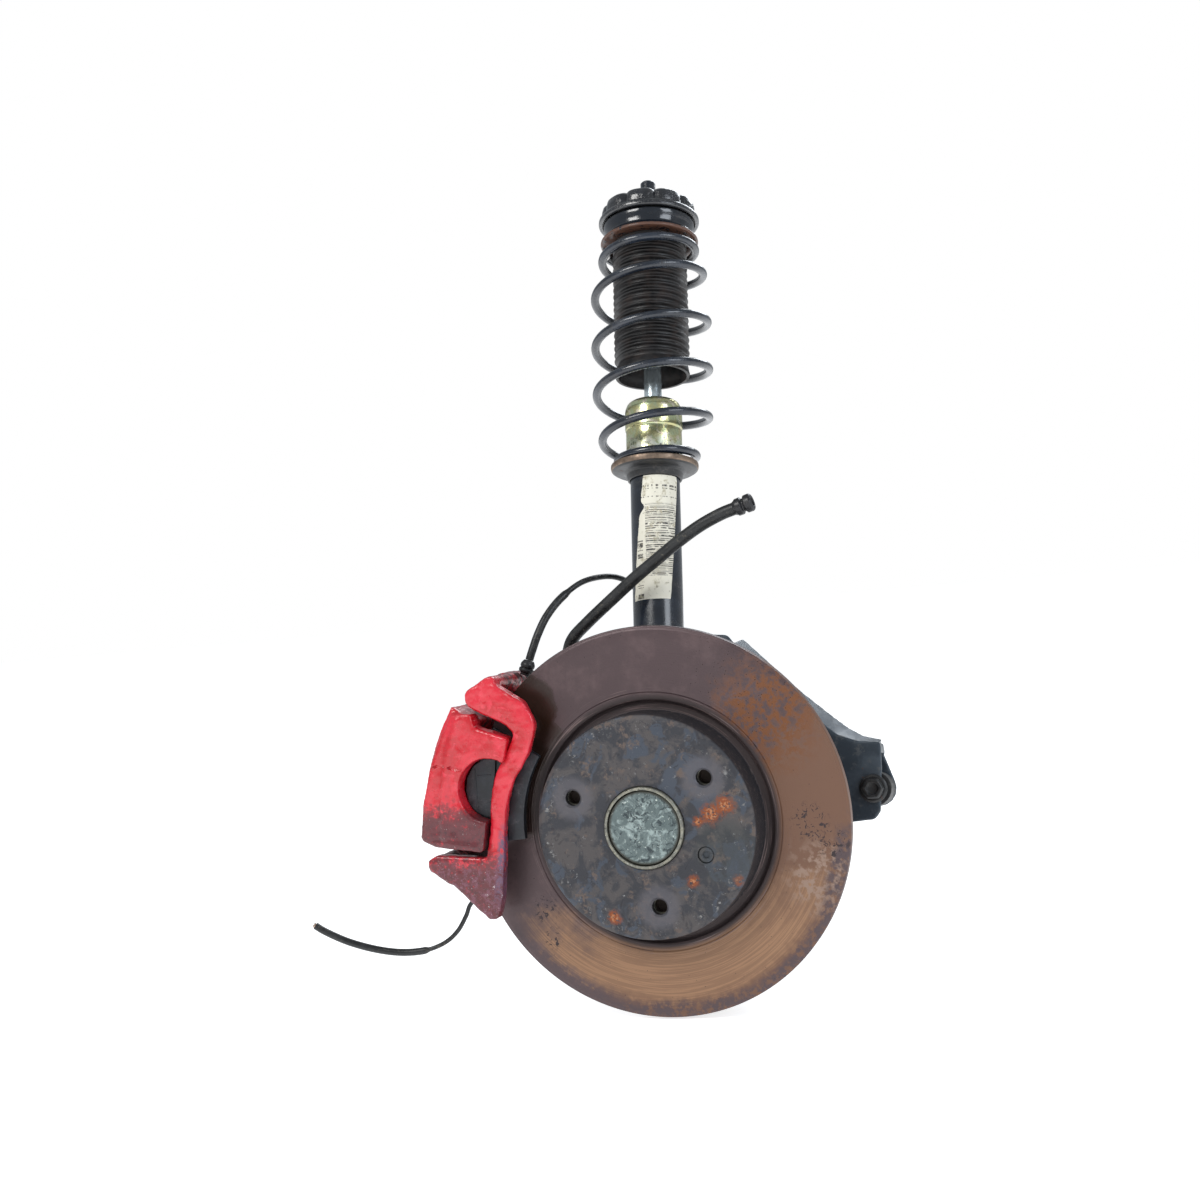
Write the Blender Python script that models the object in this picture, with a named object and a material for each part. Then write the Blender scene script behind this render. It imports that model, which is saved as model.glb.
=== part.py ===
"""Front suspension strut leg: damper and coil spring, knuckle, hub, brake disc, floating caliper and
lower arm. The wheel faces -Y, +Z is up, and the strut leans inboard (+Y) at its top.

The origin is the centre of the top mount's seating plane, on the strut's axis. Lengths are in
millimetres up to the mesh builders, which turn them into metres.
"""

import math

import bmesh
import bpy
from mathutils import Matrix, Vector

MM = 0.001
GAP = 0.3                       # between pieces that touch

# ---- driving dimensions ---------------------------------------------------------------------
LEAN = math.radians(12.4)       # strut axis from the vertical
SEAT_HEIGHT = 491.4             # hub height to the top mount's seat, along the strut axis
STRUT_X = -11.3                 # strut axis from the hub axis, fore and aft
STRUT_Y = 58.3                  # strut axis inboard of the disc's middle, at hub height

TUBE_R = 19.5
TUBE_WALL = 2.0
TUBE_LOW, TUBE_HIGH = -46.0, 317.0
ROD_R = 7.0
STUD_R = 6.1
STUD_TOP = 512.5

WIRE_R = 3.35
COIL_FRONT = math.radians(-72.0)
# (turn, height of the wire above the hub, radius of the wire's centre line)
COIL_STATIONS = (
    (-0.35, 273.3, 29.2), (0.0, 273.8, 29.6), (0.5, 282.0, 37.5), (1.0, 298.5, 43.2),
    (2.0, 338.5, 45.2), (3.0, 378.0, 45.4), (4.0, 420.0, 44.6), (4.5, 437.0, 40.5),
    (5.0, 447.5, 37.4), (5.5, 452.6, 37.2), (5.7, 453.0, 37.2),
)

DISC_R = 140.0
DISC_HALF = 5.0
HAT_R = 79.3
HAT_FACE = 30.5                 # outboard face of the hat, outboard of the disc's middle
HAT_WALL = 6.0
GROOVE_R = 87.0
SPIGOT_R = 29.0
LUG_PCD = 112.0
LUG_ANGLES = (36.1, 156.1, 276.1)
LUG_HOLE_R = 5.5

PAD_BACK = 20.3                 # back of each pad plate from the disc's middle
PAD_PLATE = 5.0
PISTON_AT = (-108.0, 29.0)
PISTON_R = 24.0
PIN_UPPER = (-114.0, 103.0)
PIN_LOWER = (-152.0, -30.0)
PIN_R = 5.0
BRACKET_BOLTS = ((-57.0, 53.0), (-76.0, -17.5))

BALL_AT = (20.0, 78.0, -100.0)  # centre of the ball joint, from the hub
BALL_R = 11.0
ARM_LEAN = math.radians(8.0)
STUD_TILT = math.radians(50.0)
BUSH_AT = (122.4, 104.8)        # front bush in the arm's own plane
BUSH_R = 13.0
REAR_BUSH_AT = (13.0, 200.0)

HOSE_R = 4.8
LEAD_R = 2.5
CUT_LEAD_R = 2.3

HOSE_ROUTE = (
    (-91.2, 73.2, 70.3), (-88.8, 73.0, 82.0), (-85.5, 71.0, 98.0), (-81.0, 67.0, 116.0),
    (-74.0, 62.5, 131.8), (-59.7, 61.5, 144.6), (-34.8, 60.0, 163.2), (-17.0, 58.0, 176.0),
    (1.9, 56.0, 188.2), (20.0, 54.0, 199.8), (37.5, 52.0, 209.4), (54.0, 50.5, 216.2),
    (66.0, 50.0, 219.6),
)
LEAD_ROUTE = (
    (-99.2, 33.4, 120.2), (-96.8, 34.2, 126.5), (-92.0, 38.0, 139.5), (-86.0, 44.5, 152.5),
    (-77.2, 55.0, 165.0), (-65.3, 70.0, 175.6), (-54.4, 90.0, 179.0), (-45.3, 105.0, 177.2),
    (-38.5, 117.0, 170.5), (-32.0, 124.5, 157.5), (-27.5, 126.5, 144.0), (-26.0, 126.0, 133.3),
)
CUT_LEAD_ROUTE = (
    (-51.3, 54.0, 24.0), (-56.5, 54.2, 23.6), (-64.0, 56.0, 14.0), (-71.0, 58.0, -4.0), (-80.0, 58.5, -19.5),
    (-96.0, 56.0, -35.5),
    (-121.0, 50.0, -46.5), (-148.0, 40.5, -54.5), (-163.6, 34.5, -63.0), (-169.2, 33.5, -73.0),
    (-176.0, 32.0, -83.6), (-185.2, 30.0, -91.6), (-197.0, 28.0, -96.6), (-209.5, 25.6, -98.6),
    (-224.5, 22.0, -98.0), (-242.0, 17.6, -94.2), (-260.5, 12.0, -87.2), (-276.0, 6.4, -78.2),
    (-283.6, 3.2, -72.2),
)

HUB = Vector((
    -STRUT_X,
    -(STRUT_Y + SEAT_HEIGHT * math.sin(LEAN)),
    -SEAT_HEIGHT * math.cos(LEAN),
))
STRUT_DIR = Vector((0.0, math.sin(LEAN), math.cos(LEAN)))
STUD_DIR = Vector((0.0, -math.sin(STUD_TILT), math.cos(STUD_TILT)))

FINISHES = {
    "black_gloss": ((0.012, 0.014, 0.018), 0.28, 0.3),
    "black_steel": ((0.02, 0.022, 0.026), 0.45, 0.4),
    "arm_steel": ((0.03, 0.04, 0.055), 0.5, 0.4),
    "rubber": ((0.015, 0.015, 0.016), 0.75, 0.0),
    "plastic": ((0.02, 0.02, 0.022), 0.5, 0.0),
    "chrome": ((0.75, 0.77, 0.8), 0.12, 1.0),
    "yellow_zinc": ((0.62, 0.58, 0.36), 0.32, 0.9),
    "zinc": ((0.5, 0.52, 0.54), 0.4, 0.9),
    "cast_iron": ((0.08, 0.075, 0.07), 0.7, 0.5),
    "rusty_iron": ((0.17, 0.09, 0.05), 0.65, 0.4),
    "red_paint": ((0.7, 0.03, 0.07), 0.35, 0.0),
    "friction": ((0.05, 0.045, 0.04), 0.9, 0.0),
    "hose": ((0.02, 0.021, 0.024), 0.55, 0.0),
}


# ---- scene helpers --------------------------------------------------------------------------
def clear_scene():
    for obj in list(bpy.data.objects):
        bpy.data.objects.remove(obj, do_unlink=True)


def finish_material(name):
    made = bpy.data.materials.get(name)
    if made is None:
        made = bpy.data.materials.new(name)
        made.use_nodes = True
        colour, rough, metal = FINISHES[name]
        shader = made.node_tree.nodes["Principled BSDF"]
        shader.inputs["Base Color"].default_value = (*colour, 1.0)
        shader.inputs["Roughness"].default_value = rough
        shader.inputs["Metallic"].default_value = metal
    return made


def empty(name, matrix):
    obj = bpy.data.objects.new(name, None)
    obj.matrix_world = matrix
    bpy.context.collection.objects.link(obj)
    return obj


def add(name, vertices, faces, frame, finish, smooth=True):
    """A mesh object from points in millimetres in the frame's own coordinates."""
    mesh = bpy.data.meshes.new(name)
    mesh.from_pydata([Vector(v) * MM for v in vertices], [], faces)
    work = bmesh.new()
    work.from_mesh(mesh)
    bmesh.ops.recalc_face_normals(work, faces=work.faces)
    work.to_mesh(mesh)
    work.free()
    if smooth:
        mesh.shade_smooth()
        mesh.set_sharp_from_angle(angle=math.radians(32))
    if finish:
        mesh.materials.append(finish_material(finish))
    obj = bpy.data.objects.new(name, mesh)
    obj.parent = frame
    bpy.context.collection.objects.link(obj)
    return obj


def helper(obj):
    obj.hide_render = True
    obj.display_type = "WIRE"
    return obj


def boolean(obj, operation, others, solver):
    for other in others:
        step = obj.modifiers.new(operation.lower(), "BOOLEAN")
        step.operation = operation
        step.object = helper(other)
        step.solver = solver


def cut(obj, *cutters, solver="EXACT"):
    boolean(obj, "DIFFERENCE", cutters, solver)


def join(obj, *others):
    boolean(obj, "UNION", others, "EXACT")


# ---- shape builders -------------------------------------------------------------------------
def lathe(name, profile, frame, finish=None, sides=24, base=None, wave=None):
    """A turned body from a closed outline of (radius, height), about the frame's Z or base's Z."""
    base = base or Matrix.Identity(4)
    vertices, rings = [], []
    for radius, height in profile:
        if radius == 0.0:
            rings.append([len(vertices)])
            vertices.append(base @ Vector((0.0, 0.0, height)))
            continue
        ring = []
        for k in range(sides):
            angle = math.tau * k / sides
            r = radius * (wave(angle, height) if wave else 1.0)
            ring.append(len(vertices))
            vertices.append(base @ Vector((r * math.cos(angle), r * math.sin(angle), height)))
        rings.append(ring)
    faces = []
    for here, after in zip(rings, rings[1:] + rings[:1]):
        if len(here) == 1 and len(after) == 1:
            continue
        for k in range(sides):
            j = (k + 1) % sides
            corners = [here[k % len(here)], here[j % len(here)], after[j % len(after)], after[k % len(after)]]
            faces.append(list(dict.fromkeys(corners)))
    return add(name, vertices, faces, frame, finish)


def prism(name, outline, low, high, frame, finish=None, smooth=True):
    """An outline in the frame's XY plane, extruded along its Z."""
    count = len(outline)
    vertices = [(x, y, z) for z in (low, high) for x, y in outline]
    faces = [list(range(count)), list(range(count, 2 * count))]
    for k in range(count):
        j = (k + 1) % count
        faces.append([k, j, count + j, count + k])
    return add(name, vertices, faces, frame, finish, smooth)


def circle(x, y, radius, steps=16):
    return [
        (x + radius * math.cos(math.tau * k / steps), y + radius * math.sin(math.tau * k / steps))
        for k in range(steps)
    ]


def hull(*discs, steps=16):
    """The outline that a band stretched round some discs (x, y, radius) would take."""
    points = sorted({p for x, y, r in discs for p in circle(x, y, r, steps)})
    halves = []
    for order in (points, points[::-1]):
        half = []
        for p in order:
            while len(half) > 1:
                (ax, ay), (bx, by) = half[-2], half[-1]
                if (bx - ax) * (p[1] - ay) - (by - ay) * (p[0] - ax) > 1e-9:
                    break
                half.pop()
            half.append(p)
        halves.append(half[:-1])
    return halves[0] + halves[1]


def rounded(corners, steps=3):
    """A closed outline whose corners (x, y, fillet radius) are turned into arcs."""
    outline = []
    count = len(corners)
    for k, (x, y, radius) in enumerate(corners):
        here = Vector((x, y))
        before = Vector(corners[k - 1][:2]) - here
        after = Vector(corners[(k + 1) % count][:2]) - here
        if radius == 0.0:
            outline.append((x, y))
            continue
        turn = before.angle(after)
        reach = min(radius / math.tan(turn / 2), 0.48 * before.length, 0.48 * after.length)
        first = here + before.normalized() * reach
        last = here + after.normalized() * reach
        for step in range(steps + 1):
            t = step / steps
            point = first.lerp(here, t).lerp(here.lerp(last, t), t)
            outline.append((point.x, point.y))
    return outline


def sector(inner, outer, start, end, steps=8):
    """A ring's stretch between two angles in degrees."""
    angles = [math.radians(start + (end - start) * k / steps) for k in range(steps + 1)]
    rim = [(outer * math.cos(a), outer * math.sin(a)) for a in angles]
    return rim + [(inner * math.cos(a), inner * math.sin(a)) for a in reversed(angles)]


def along(start, end):
    """A placement at start whose Z runs towards end."""
    start, end = Vector(start), Vector(end)
    turn = (end - start).to_track_quat("Z", "Y").to_matrix().to_4x4()
    return Matrix.Translation(start) @ turn


def rod(name, start, end, radius, frame, finish=None, sides=16):
    length = (Vector(end) - Vector(start)).length
    profile = ((0.0, 0.0), (radius, 0.0), (radius, length), (0.0, length))
    return lathe(name, profile, frame, finish, sides, along(start, end))


def hex_bolt(name, start, end, radius, head, thick, frame, finish, base=None):
    """A bolt whose head starts at start; the shank runs on to end."""
    length = (Vector(end) - Vector(start)).length
    place = base or along(start, end)
    shank = lathe(
        name,
        ((0.0, thick - 1.0), (radius, thick - 1.0), (radius, length - 1.0), (radius - 1.0, length), (0.0, length)),
        frame, finish, 12, place,
    )
    cap = ((0.0, 0.0), (head * 0.86, 0.0), (head, 1.0), (head, thick), (0.0, thick))
    join(shank, lathe(name + "_head", cap, frame, None, 6, place))
    return shank


def ring(name, inner, outer, low, high, frame, finish, sides=24, base=None):
    profile = ((outer, low), (outer, high), (inner, high), (inner, low))
    return lathe(name, profile, frame, finish, sides, base)


def smooth_route(points, spacing):
    """Evenly spaced points on a smooth curve through the given ones."""
    points = [Vector(p) for p in points]
    padded = [2 * points[0] - points[1], *points, 2 * points[-1] - points[-2]]
    fine = []
    for a, b, c, d in zip(padded, padded[1:], padded[2:], padded[3:]):
        for step in range(16):
            t = step / 16
            fine.append(0.5 * (2 * b + (c - a) * t + (2 * a - 5 * b + 4 * c - d) * t**2
                               + (3 * b - a - 3 * c + d) * t**3))
    fine.append(points[-1])
    lengths = [0.0]
    for a, b in zip(fine, fine[1:]):
        lengths.append(lengths[-1] + (b - a).length)
    count = max(2, round(lengths[-1] / spacing))
    even, k = [], 0
    for step in range(count + 1):
        want = lengths[-1] * step / count
        while k < len(fine) - 2 and lengths[k + 1] < want:
            k += 1
        share = (want - lengths[k]) / (lengths[k + 1] - lengths[k])
        even.append(fine[k].lerp(fine[k + 1], min(1.0, share)))
    return even


def cord(name, route, radius, frame, finish, resolution):
    points = smooth_route(route, 2.8 * 2 * radius)
    curve = bpy.data.curves.new(name, "CURVE")
    curve.dimensions = "3D"
    curve.bevel_depth = radius * MM
    curve.bevel_resolution = resolution
    curve.use_fill_caps = True
    line = curve.splines.new("POLY")
    line.points.add(len(points) - 1)
    for slot, point in zip(line.points, points):
        slot.co = (*(point * MM), 1.0)
    curve.materials.append(finish_material(finish))
    obj = bpy.data.objects.new(name, curve)
    obj.parent = frame
    bpy.context.collection.objects.link(obj)
    return obj


# ---- frames ---------------------------------------------------------------------------------
clear_scene()
AT_HUB = Matrix.Translation(HUB * MM)
strut = empty("strut_axis", Matrix.Rotation(-LEAN, 4, "X"))
wheel = empty("wheel_axis", AT_HUB @ Matrix.Rotation(math.pi / 2, 4, "X"))
corner = empty("hub_centre", AT_HUB)
arm = empty(
    "arm_pivot",
    AT_HUB @ Matrix.Translation(Vector(BALL_AT) * MM) @ Matrix.Rotation(math.pi / 2 - ARM_LEAN, 4, "X"),
)
FROM_SEAT = Matrix.Translation((0.0, 0.0, -SEAT_HEIGHT))


def strut_lathe(name, profile, finish, sides=24, wave=None):
    """A body turned about the strut; heights are above the hub, along the strut."""
    return lathe(name, profile, strut, finish, sides, FROM_SEAT, wave)


def wheel_place(x, z):
    """A placement on a line parallel to the wheel's axis; its Z runs outboard."""
    return Matrix.Translation((x, z, 0.0))


# ---- top mount ------------------------------------------------------------------------------
def crown_lobes(angle, height):
    rise = min(1.0, max(0.0, (height - 478.5) / 5.0))
    return 1.0 + 0.035 * rise * math.cos(9 * angle)


def build_top_mount():
    strut_lathe("top_mount_cap", (
        (40.4, 473.8), (40.8, 476.8), (38.0, 479.2), (36.0, 486.0), (28.0, SEAT_HEIGHT), (22.0, SEAT_HEIGHT),
        (20.0, 488.9), (20.0, 481.0), (8.6, 481.0), (8.6, 478.4), (33.5, 478.4), (37.6, 476.2), (37.6, 473.8),
    ), "black_gloss", 27, crown_lobes)
    strut_lathe("top_mount_rubber", ((8.6, 471.5), (33.0, 471.5), (33.0, 477.9), (8.6, 477.9)), "rubber")
    strut_lathe("mount_sleeve", ((6.5, 465.6), (8.2, 465.6), (8.2, 480.7), (6.5, 480.7)), "zinc", 16)
    strut_lathe("upper_bearing_race", ((24.0, 465.6), (33.2, 465.6), (33.2, 471.1), (24.0, 471.1)), "zinc")
    strut_lathe("piston_rod", (
        (0.0, 232.0), (15.0, 232.0), (17.2, 234.0), (17.2, 244.0), (ROD_R, 246.0), (ROD_R, 465.2),
        (STUD_R, 465.2), (STUD_R, STUD_TOP - 1.2), (STUD_R - 1.2, STUD_TOP), (0.0, STUD_TOP),
    ), "chrome", 20)
    nut = strut_lathe("rod_nut", ((0.0, 481.3), (9.9, 481.3), (9.9, 488.6), (0.0, 488.6)), "zinc", 6)
    cut(nut, strut_lathe("rod_nut_hole", ((0.0, 476.4), (6.4, 476.4), (6.4, 493.4), (0.0, 493.4)), None, 16))
    strut_lathe("bump_stop", (
        (7.6, 402.0), (13.5, 402.0), (18.0, 409.0), (15.5, 417.0), (19.0, 426.0), (15.5, 435.0),
        (19.0, 444.0), (19.0, 461.4), (14.0, 464.6), (7.6, 464.6),
    ), "rubber", 16)


# ---- spring and its seats ---------------------------------------------------------------------
def coil_at(turn):
    """Height and radius of the wire's centre line, read smoothly between the stations."""
    stations = COIL_STATIONS
    for k in range(len(stations) - 1):
        if turn <= stations[k + 1][0]:
            break
    (t0, h0, r0), (t1, h1, r1) = stations[k], stations[k + 1]
    share = (turn - t0) / (t1 - t0)

    def slope(index, item):
        low, high = stations[max(index - 1, 0)], stations[min(index + 1, len(stations) - 1)]
        return (high[item] - low[item]) / (high[0] - low[0])

    values = []
    for item, start, end in ((1, h0, h1), (2, r0, r1)):
        m0, m1 = slope(k, item) * (t1 - t0), slope(k + 1, item) * (t1 - t0)
        s = share
        values.append(
            (2 * s**3 - 3 * s**2 + 1) * start + (s**3 - 2 * s**2 + s) * m0
            + (3 * s**2 - 2 * s**3) * end + (s**3 - s**2) * m1
        )
    return values


def build_coil_spring(per_turn=16, sides=6):
    first, last = COIL_STATIONS[0][0], COIL_STATIONS[-1][0]
    count = round((last - first) * per_turn)
    vertices, faces = [], []
    for k in range(count + 1):
        turn = first + (last - first) * k / count
        height, radius = coil_at(turn)
        angle = COIL_FRONT + math.tau * turn
        outward = Vector((math.cos(angle), math.sin(angle), 0.0))
        centre = outward * radius + Vector((0.0, 0.0, height - SEAT_HEIGHT))
        for j in range(sides):
            a = math.tau * j / sides
            vertices.append(centre + WIRE_R * (math.cos(a) * outward + math.sin(a) * Vector((0, 0, 1))))
    for k in range(count):
        for j in range(sides):
            i = (j + 1) % sides
            faces.append([k * sides + j, k * sides + i, (k + 1) * sides + i, (k + 1) * sides + j])
    faces.append(list(range(sides)))
    faces.append([count * sides + j for j in range(sides)])
    add("coil_spring", vertices, faces, strut, "black_gloss")


def build_dust_boot(ridges=9, low=353.0, high=450.5):
    pitch = (high - low) / ridges
    outer = [(29.4, 343.2), (29.8, 345.0), (29.0, 351.0)]
    for k in range(ridges):
        outer.append((27.6, low + pitch * k))
        outer.append((30.0, low + pitch * (k + 0.5)))
    outer += [(27.8, high), (30.0, high + 1.5), (30.0, 456.5)]
    strut_lathe("dust_boot", outer + [(25.4, 456.5), (25.4, 343.2)], "rubber", 16)


def build_spring_carrier():
    strut_lathe("lower_bearing_race", ((24.0, 459.8), (33.2, 459.8), (33.2, 465.2), (24.0, 465.2)), "zinc")
    strut_lathe("upper_spring_seat", (
        (36.6, 456.8), (38.4, 457.4), (38.2, 459.0), (36.2, 460.8), (35.4, 463.5), (36.2, 468.0),
        (37.0, 473.4), (33.6, 473.4), (33.6, 459.4), (21.0, 459.4), (21.0, 456.8),
    ), "black_gloss", 28)
    build_coil_spring()
    build_dust_boot()


# ---- damper body ------------------------------------------------------------------------------
def build_damper():
    bore = TUBE_R - TUBE_WALL
    strut_lathe("damper_tube", (
        (0.0, TUBE_LOW), (TUBE_R - 1.5, TUBE_LOW), (TUBE_R, TUBE_LOW + 1.5), (TUBE_R, TUBE_HIGH),
        (bore, TUBE_HIGH), (bore, TUBE_LOW + 6.0), (0.0, TUBE_LOW + 6.0),
    ), "black_gloss", 28)
    strut_lathe("rod_guide", ((7.4, 300.0), (17.1, 300.0), (17.1, 316.4), (7.4, 316.4)), "zinc", 20)
    strut_lathe("damper_top_cap", (
        (19.9, 275.5), (22.2, 275.5), (22.2, 297.5), (22.8, 298.5), (22.8, 315.5), (21.6, 319.6),
        (18.6, 322.0), (7.5, 322.0), (7.5, 319.2), (19.9, 319.2),
    ), "yellow_zinc", 28)
    strut_lathe("lower_spring_seat", (
        (19.8, 257.0), (21.6, 257.0), (22.8, 262.5), (33.0, 264.6), (34.6, 266.2), (34.6, 269.4),
        (33.4, 269.4), (33.2, 267.0), (24.4, 266.6), (23.6, 273.2), (19.8, 273.2),
    ), "black_steel", 28)
    strut_lathe("lower_spring_pad", ((24.9, 267.3), (32.9, 267.4), (32.9, 269.4), (24.6, 269.6)), "rubber", 24)


def build_lead_clip():
    """A band round the tube whose tab carries the sensor lead's connector."""
    band = strut_lathe("tube_lead_clip", ((TUBE_R + GAP, 96.0), (22.0, 96.0), (22.0, 108.0),
                                          (TUBE_R + GAP, 108.0)), "black_steel", 24)
    tab = rounded(((-26.0, 20.0, 2.0), (-26.0, 33.5, 2.0), (-2.0, 33.5, 2.0), (-2.0, 20.0, 2.0)))
    lug = prism("tube_lead_clip_tab", tab, 100.0 - SEAT_HEIGHT, 103.0 - SEAT_HEIGHT, strut)
    join(band, lug)


# ---- knuckle ------------------------------------------------------------------------------------
def strut_point(height, x=0.0, back=0.0):
    """A point near the strut's axis, in hub coordinates."""
    across = Vector((0.0, math.cos(LEAN), -math.sin(LEAN)))
    return Vector((STRUT_X + x, STRUT_Y, 0.0)) + STRUT_DIR * height + across * back


def build_knuckle():
    body = rod("steering_knuckle", (0, 24, 0), (0, 46, 0), 40.0, corner, "cast_iron", 28)
    spindle = lathe("spindle", (
        (0.0, 27.0), (11.5, 27.0), (12.5, 26.0), (12.5, -15.4), (18.0, -15.4), (18.0, -35.0), (0.0, -35.0),
    ), wheel, sides=20)
    clamp = rod("clamp", strut_point(-43), strut_point(14), 27.5, corner, sides=24)
    ears = []
    across = Matrix.Translation(Vector((STRUT_X, STRUT_Y, 0.0))) @ Matrix.Rotation(-LEAN, 4, "X")
    ear = rounded(((-14.0, 15.0, 0.0), (14.0, 15.0, 0.0), (14.0, 46.0, 6.0), (-14.0, 46.0, 6.0)))
    block = prism("pinch_ears", ear, -38.0, -4.0, corner)
    block.matrix_local = Matrix.Translation(across.translation * MM) @ Matrix.Rotation(-LEAN, 4, "X")
    ears.append(block)
    web = prism("lower_web", hull((0, -20, 30), (20, -72, 13)), -58.0, -34.0, wheel)
    boss_low = Vector(BALL_AT) + STUD_DIR * 21.0
    boss_high = Vector(BALL_AT) + STUD_DIR * 46.0
    boss = rod("ball_boss", boss_low, boss_high, 13.0, corner, sides=16)
    steer = prism("steering_arm", hull((95, -20, 8), (10, -16, 20)), -64.0, -50.0, wheel)
    eye = rod("steering_eye", (95, 57, -30), (95, 57, -6), 12.5, corner, sides=16)
    lugs = [
        prism("bracket_lug_%d" % k, hull((x, z, 10.5), (-18, z * 0.4, 20)), k - 40.0, -24.4 - 0.3 * k, wheel)
        for k, (x, z) in enumerate(BRACKET_BOLTS)
    ]
    join(body, spindle, clamp, *ears, web, boss, steer, eye, *lugs)
    bore = rod("clamp_bore", strut_point(-80), strut_point(40), TUBE_R + GAP, corner, sides=28)
    slit = prism("clamp_slit", ((-1.6, 10.0), (1.6, 10.0), (1.6, 60.0), (-1.6, 60.0)), -70.0, 30.0, corner)
    slit.matrix_local = block.matrix_local.copy()
    pinch = rod("pinch_hole", strut_point(-21, -30, 37), strut_point(-21, 30, 37), 5.3, corner)
    stud = rod("stud_hole", Vector(BALL_AT) + STUD_DIR * 10, Vector(BALL_AT) + STUD_DIR * 60, 7.3, corner)
    taper = rod("tie_rod_hole", (95, 57, -50), (95, 57, 20), 6.5, corner)
    sensor = rod("sensor_hole", (-31.5, 10, 18.2), (-31.5, 70, 18.2), 5.8, corner)
    holes = [rod("bolt_hole_%d" % k, (x, 10, z), (x, 60, z), 5.3, corner) for k, (x, z) in enumerate(BRACKET_BOLTS)]
    cut(body, bore, slit, pinch, stud, taper, sensor, *holes, solver="MANIFOLD")

    hex_bolt("pinch_bolt", strut_point(-21, 21.0, 37), strut_point(-21, -19, 37), PIN_R, 8.5, 6.7, corner, "zinc")
    for name, (x, z) in zip(("bracket_bolt_upper", "bracket_bolt_lower"), BRACKET_BOLTS):
        hex_bolt(name, (x, 48.4, z), (x, 14.0, z), PIN_R, 9.0, 8.0, corner, "zinc")
    ring("bearing_inner_ring", 12.8, 17.4, -14.8, 13.0, wheel, "zinc", 24)
    nut = lathe("axle_nut", ((0, 15.2), (15.0, 15.2), (15.0, 24.5), (0, 24.5)), wheel, "zinc", 6)
    cut(nut, lathe("axle_nut_hole", ((0, 10), (12.8, 10), (12.8, 30), (0, 30)), wheel, None, 20))
    sensor_body = rod("abs_sensor", (-31.5, 22.8, 18.2), (-31.5, 47.0, 18.2), 5.5, corner, "plastic")
    head = prism("sensor_head", rounded(((-50, 17.8, 3), (-34, 17.8, 2), (-34, 30, 3), (-50, 30, 3))), -60.0, -46.4,
                 wheel)
    join(sensor_body, head)


# ---- hub, bearing and disc --------------------------------------------------------------------
def lug_points(radius):
    return [(radius * math.cos(math.radians(a)), radius * math.sin(math.radians(a))) for a in LUG_ANGLES]


def build_wheel_end():
    inner = HAT_FACE - HAT_WALL
    disc = lathe("brake_disc", (
        (SPIGOT_R + GAP, HAT_FACE), (HAT_R - 1.5, HAT_FACE), (HAT_R, HAT_FACE - 1.5), (HAT_R, 0.5),
        (GROOVE_R - 1.0, 0.5), (GROOVE_R, DISC_HALF), (DISC_R - 1.0, DISC_HALF), (DISC_R, DISC_HALF - 1.0),
        (DISC_R, 1.0 - DISC_HALF), (DISC_R - 1.0, -DISC_HALF), (GROOVE_R - 8.0, -DISC_HALF),
        (HAT_R - HAT_WALL, -1.0), (HAT_R - HAT_WALL, inner), (SPIGOT_R + GAP, inner),
    ), wheel, "rusty_iron", 40)
    for k, (x, z) in enumerate(lug_points(LUG_PCD / 2)):
        profile = ((0, 15), (LUG_HOLE_R, 15), (LUG_HOLE_R, HAT_FACE - 1.2), (LUG_HOLE_R + 1.4, HAT_FACE + 0.4),
                   (LUG_HOLE_R + 1.4, 35), (0, 35))
        cut(disc, lathe("lug_hole_%d" % k, profile, wheel, None, 14, wheel_place(x, z)))
    cut(disc, lathe("screw_hole", ((0, 15), (5.9, 15), (5.9, 35), (0, 35)), wheel, None, 14,
                    wheel_place(42.7, -20.1)))

    hub = lathe("wheel_hub", (
        (26.6, HAT_FACE + 2.2), (28.2, HAT_FACE + 2.2), (SPIGOT_R, HAT_FACE + 1.2), (SPIGOT_R, inner - GAP),
        (66.5, inner - GAP), (68.0, inner - 1.8), (68.0, 16.0), (33.5, 16.0), (32.0, 14.0), (32.0, -18.0),
        (26.4, -18.0), (26.4, 12.4), (20.5, 12.4), (20.5, 14.6), (24.8, 14.6), (26.6, 22.0),
    ), wheel, "cast_iron", 32)
    for k, (x, z) in enumerate(lug_points(LUG_PCD / 2)):
        cut(hub, lathe("thread_%d" % k, ((0, 17.5), (5.2, 17.5), (5.2, 35), (0, 35)), wheel, None, 12, wheel_place(x, z)))
    cut(hub, lathe("screw_thread", ((0, 18.5), (4.2, 18.5), (4.2, 35), (0, 35)), wheel, None, 10,
                   wheel_place(42.7, -20.1)))
    lathe("disc_locating_screw", (
        (0, 19.2), (3.8, 19.2), (3.8, 25.2), (5.5, 25.6), (5.5, HAT_FACE - 0.4), (0, HAT_FACE - 0.4),
    ), wheel, "rusty_iron", 12, wheel_place(42.7, -20.1))
    lathe("hub_dust_cap", (
        (0.0, 31.6), (22.5, 31.6), (25.0, 31.2), (26.2, 29.6), (26.2, 23.0), (25.4, 23.0), (25.4, 29.0),
        (22.0, 30.4), (0.0, 30.4),
    ), wheel, "zinc", 28)
    ring("bearing_outer_ring", 21.2, 26.1, -16.5, 12.0, wheel, "zinc", 24)
    ring("abs_ring", 32.3, 38.0, -21.8, -15.6, wheel, "zinc", 32)


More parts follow.
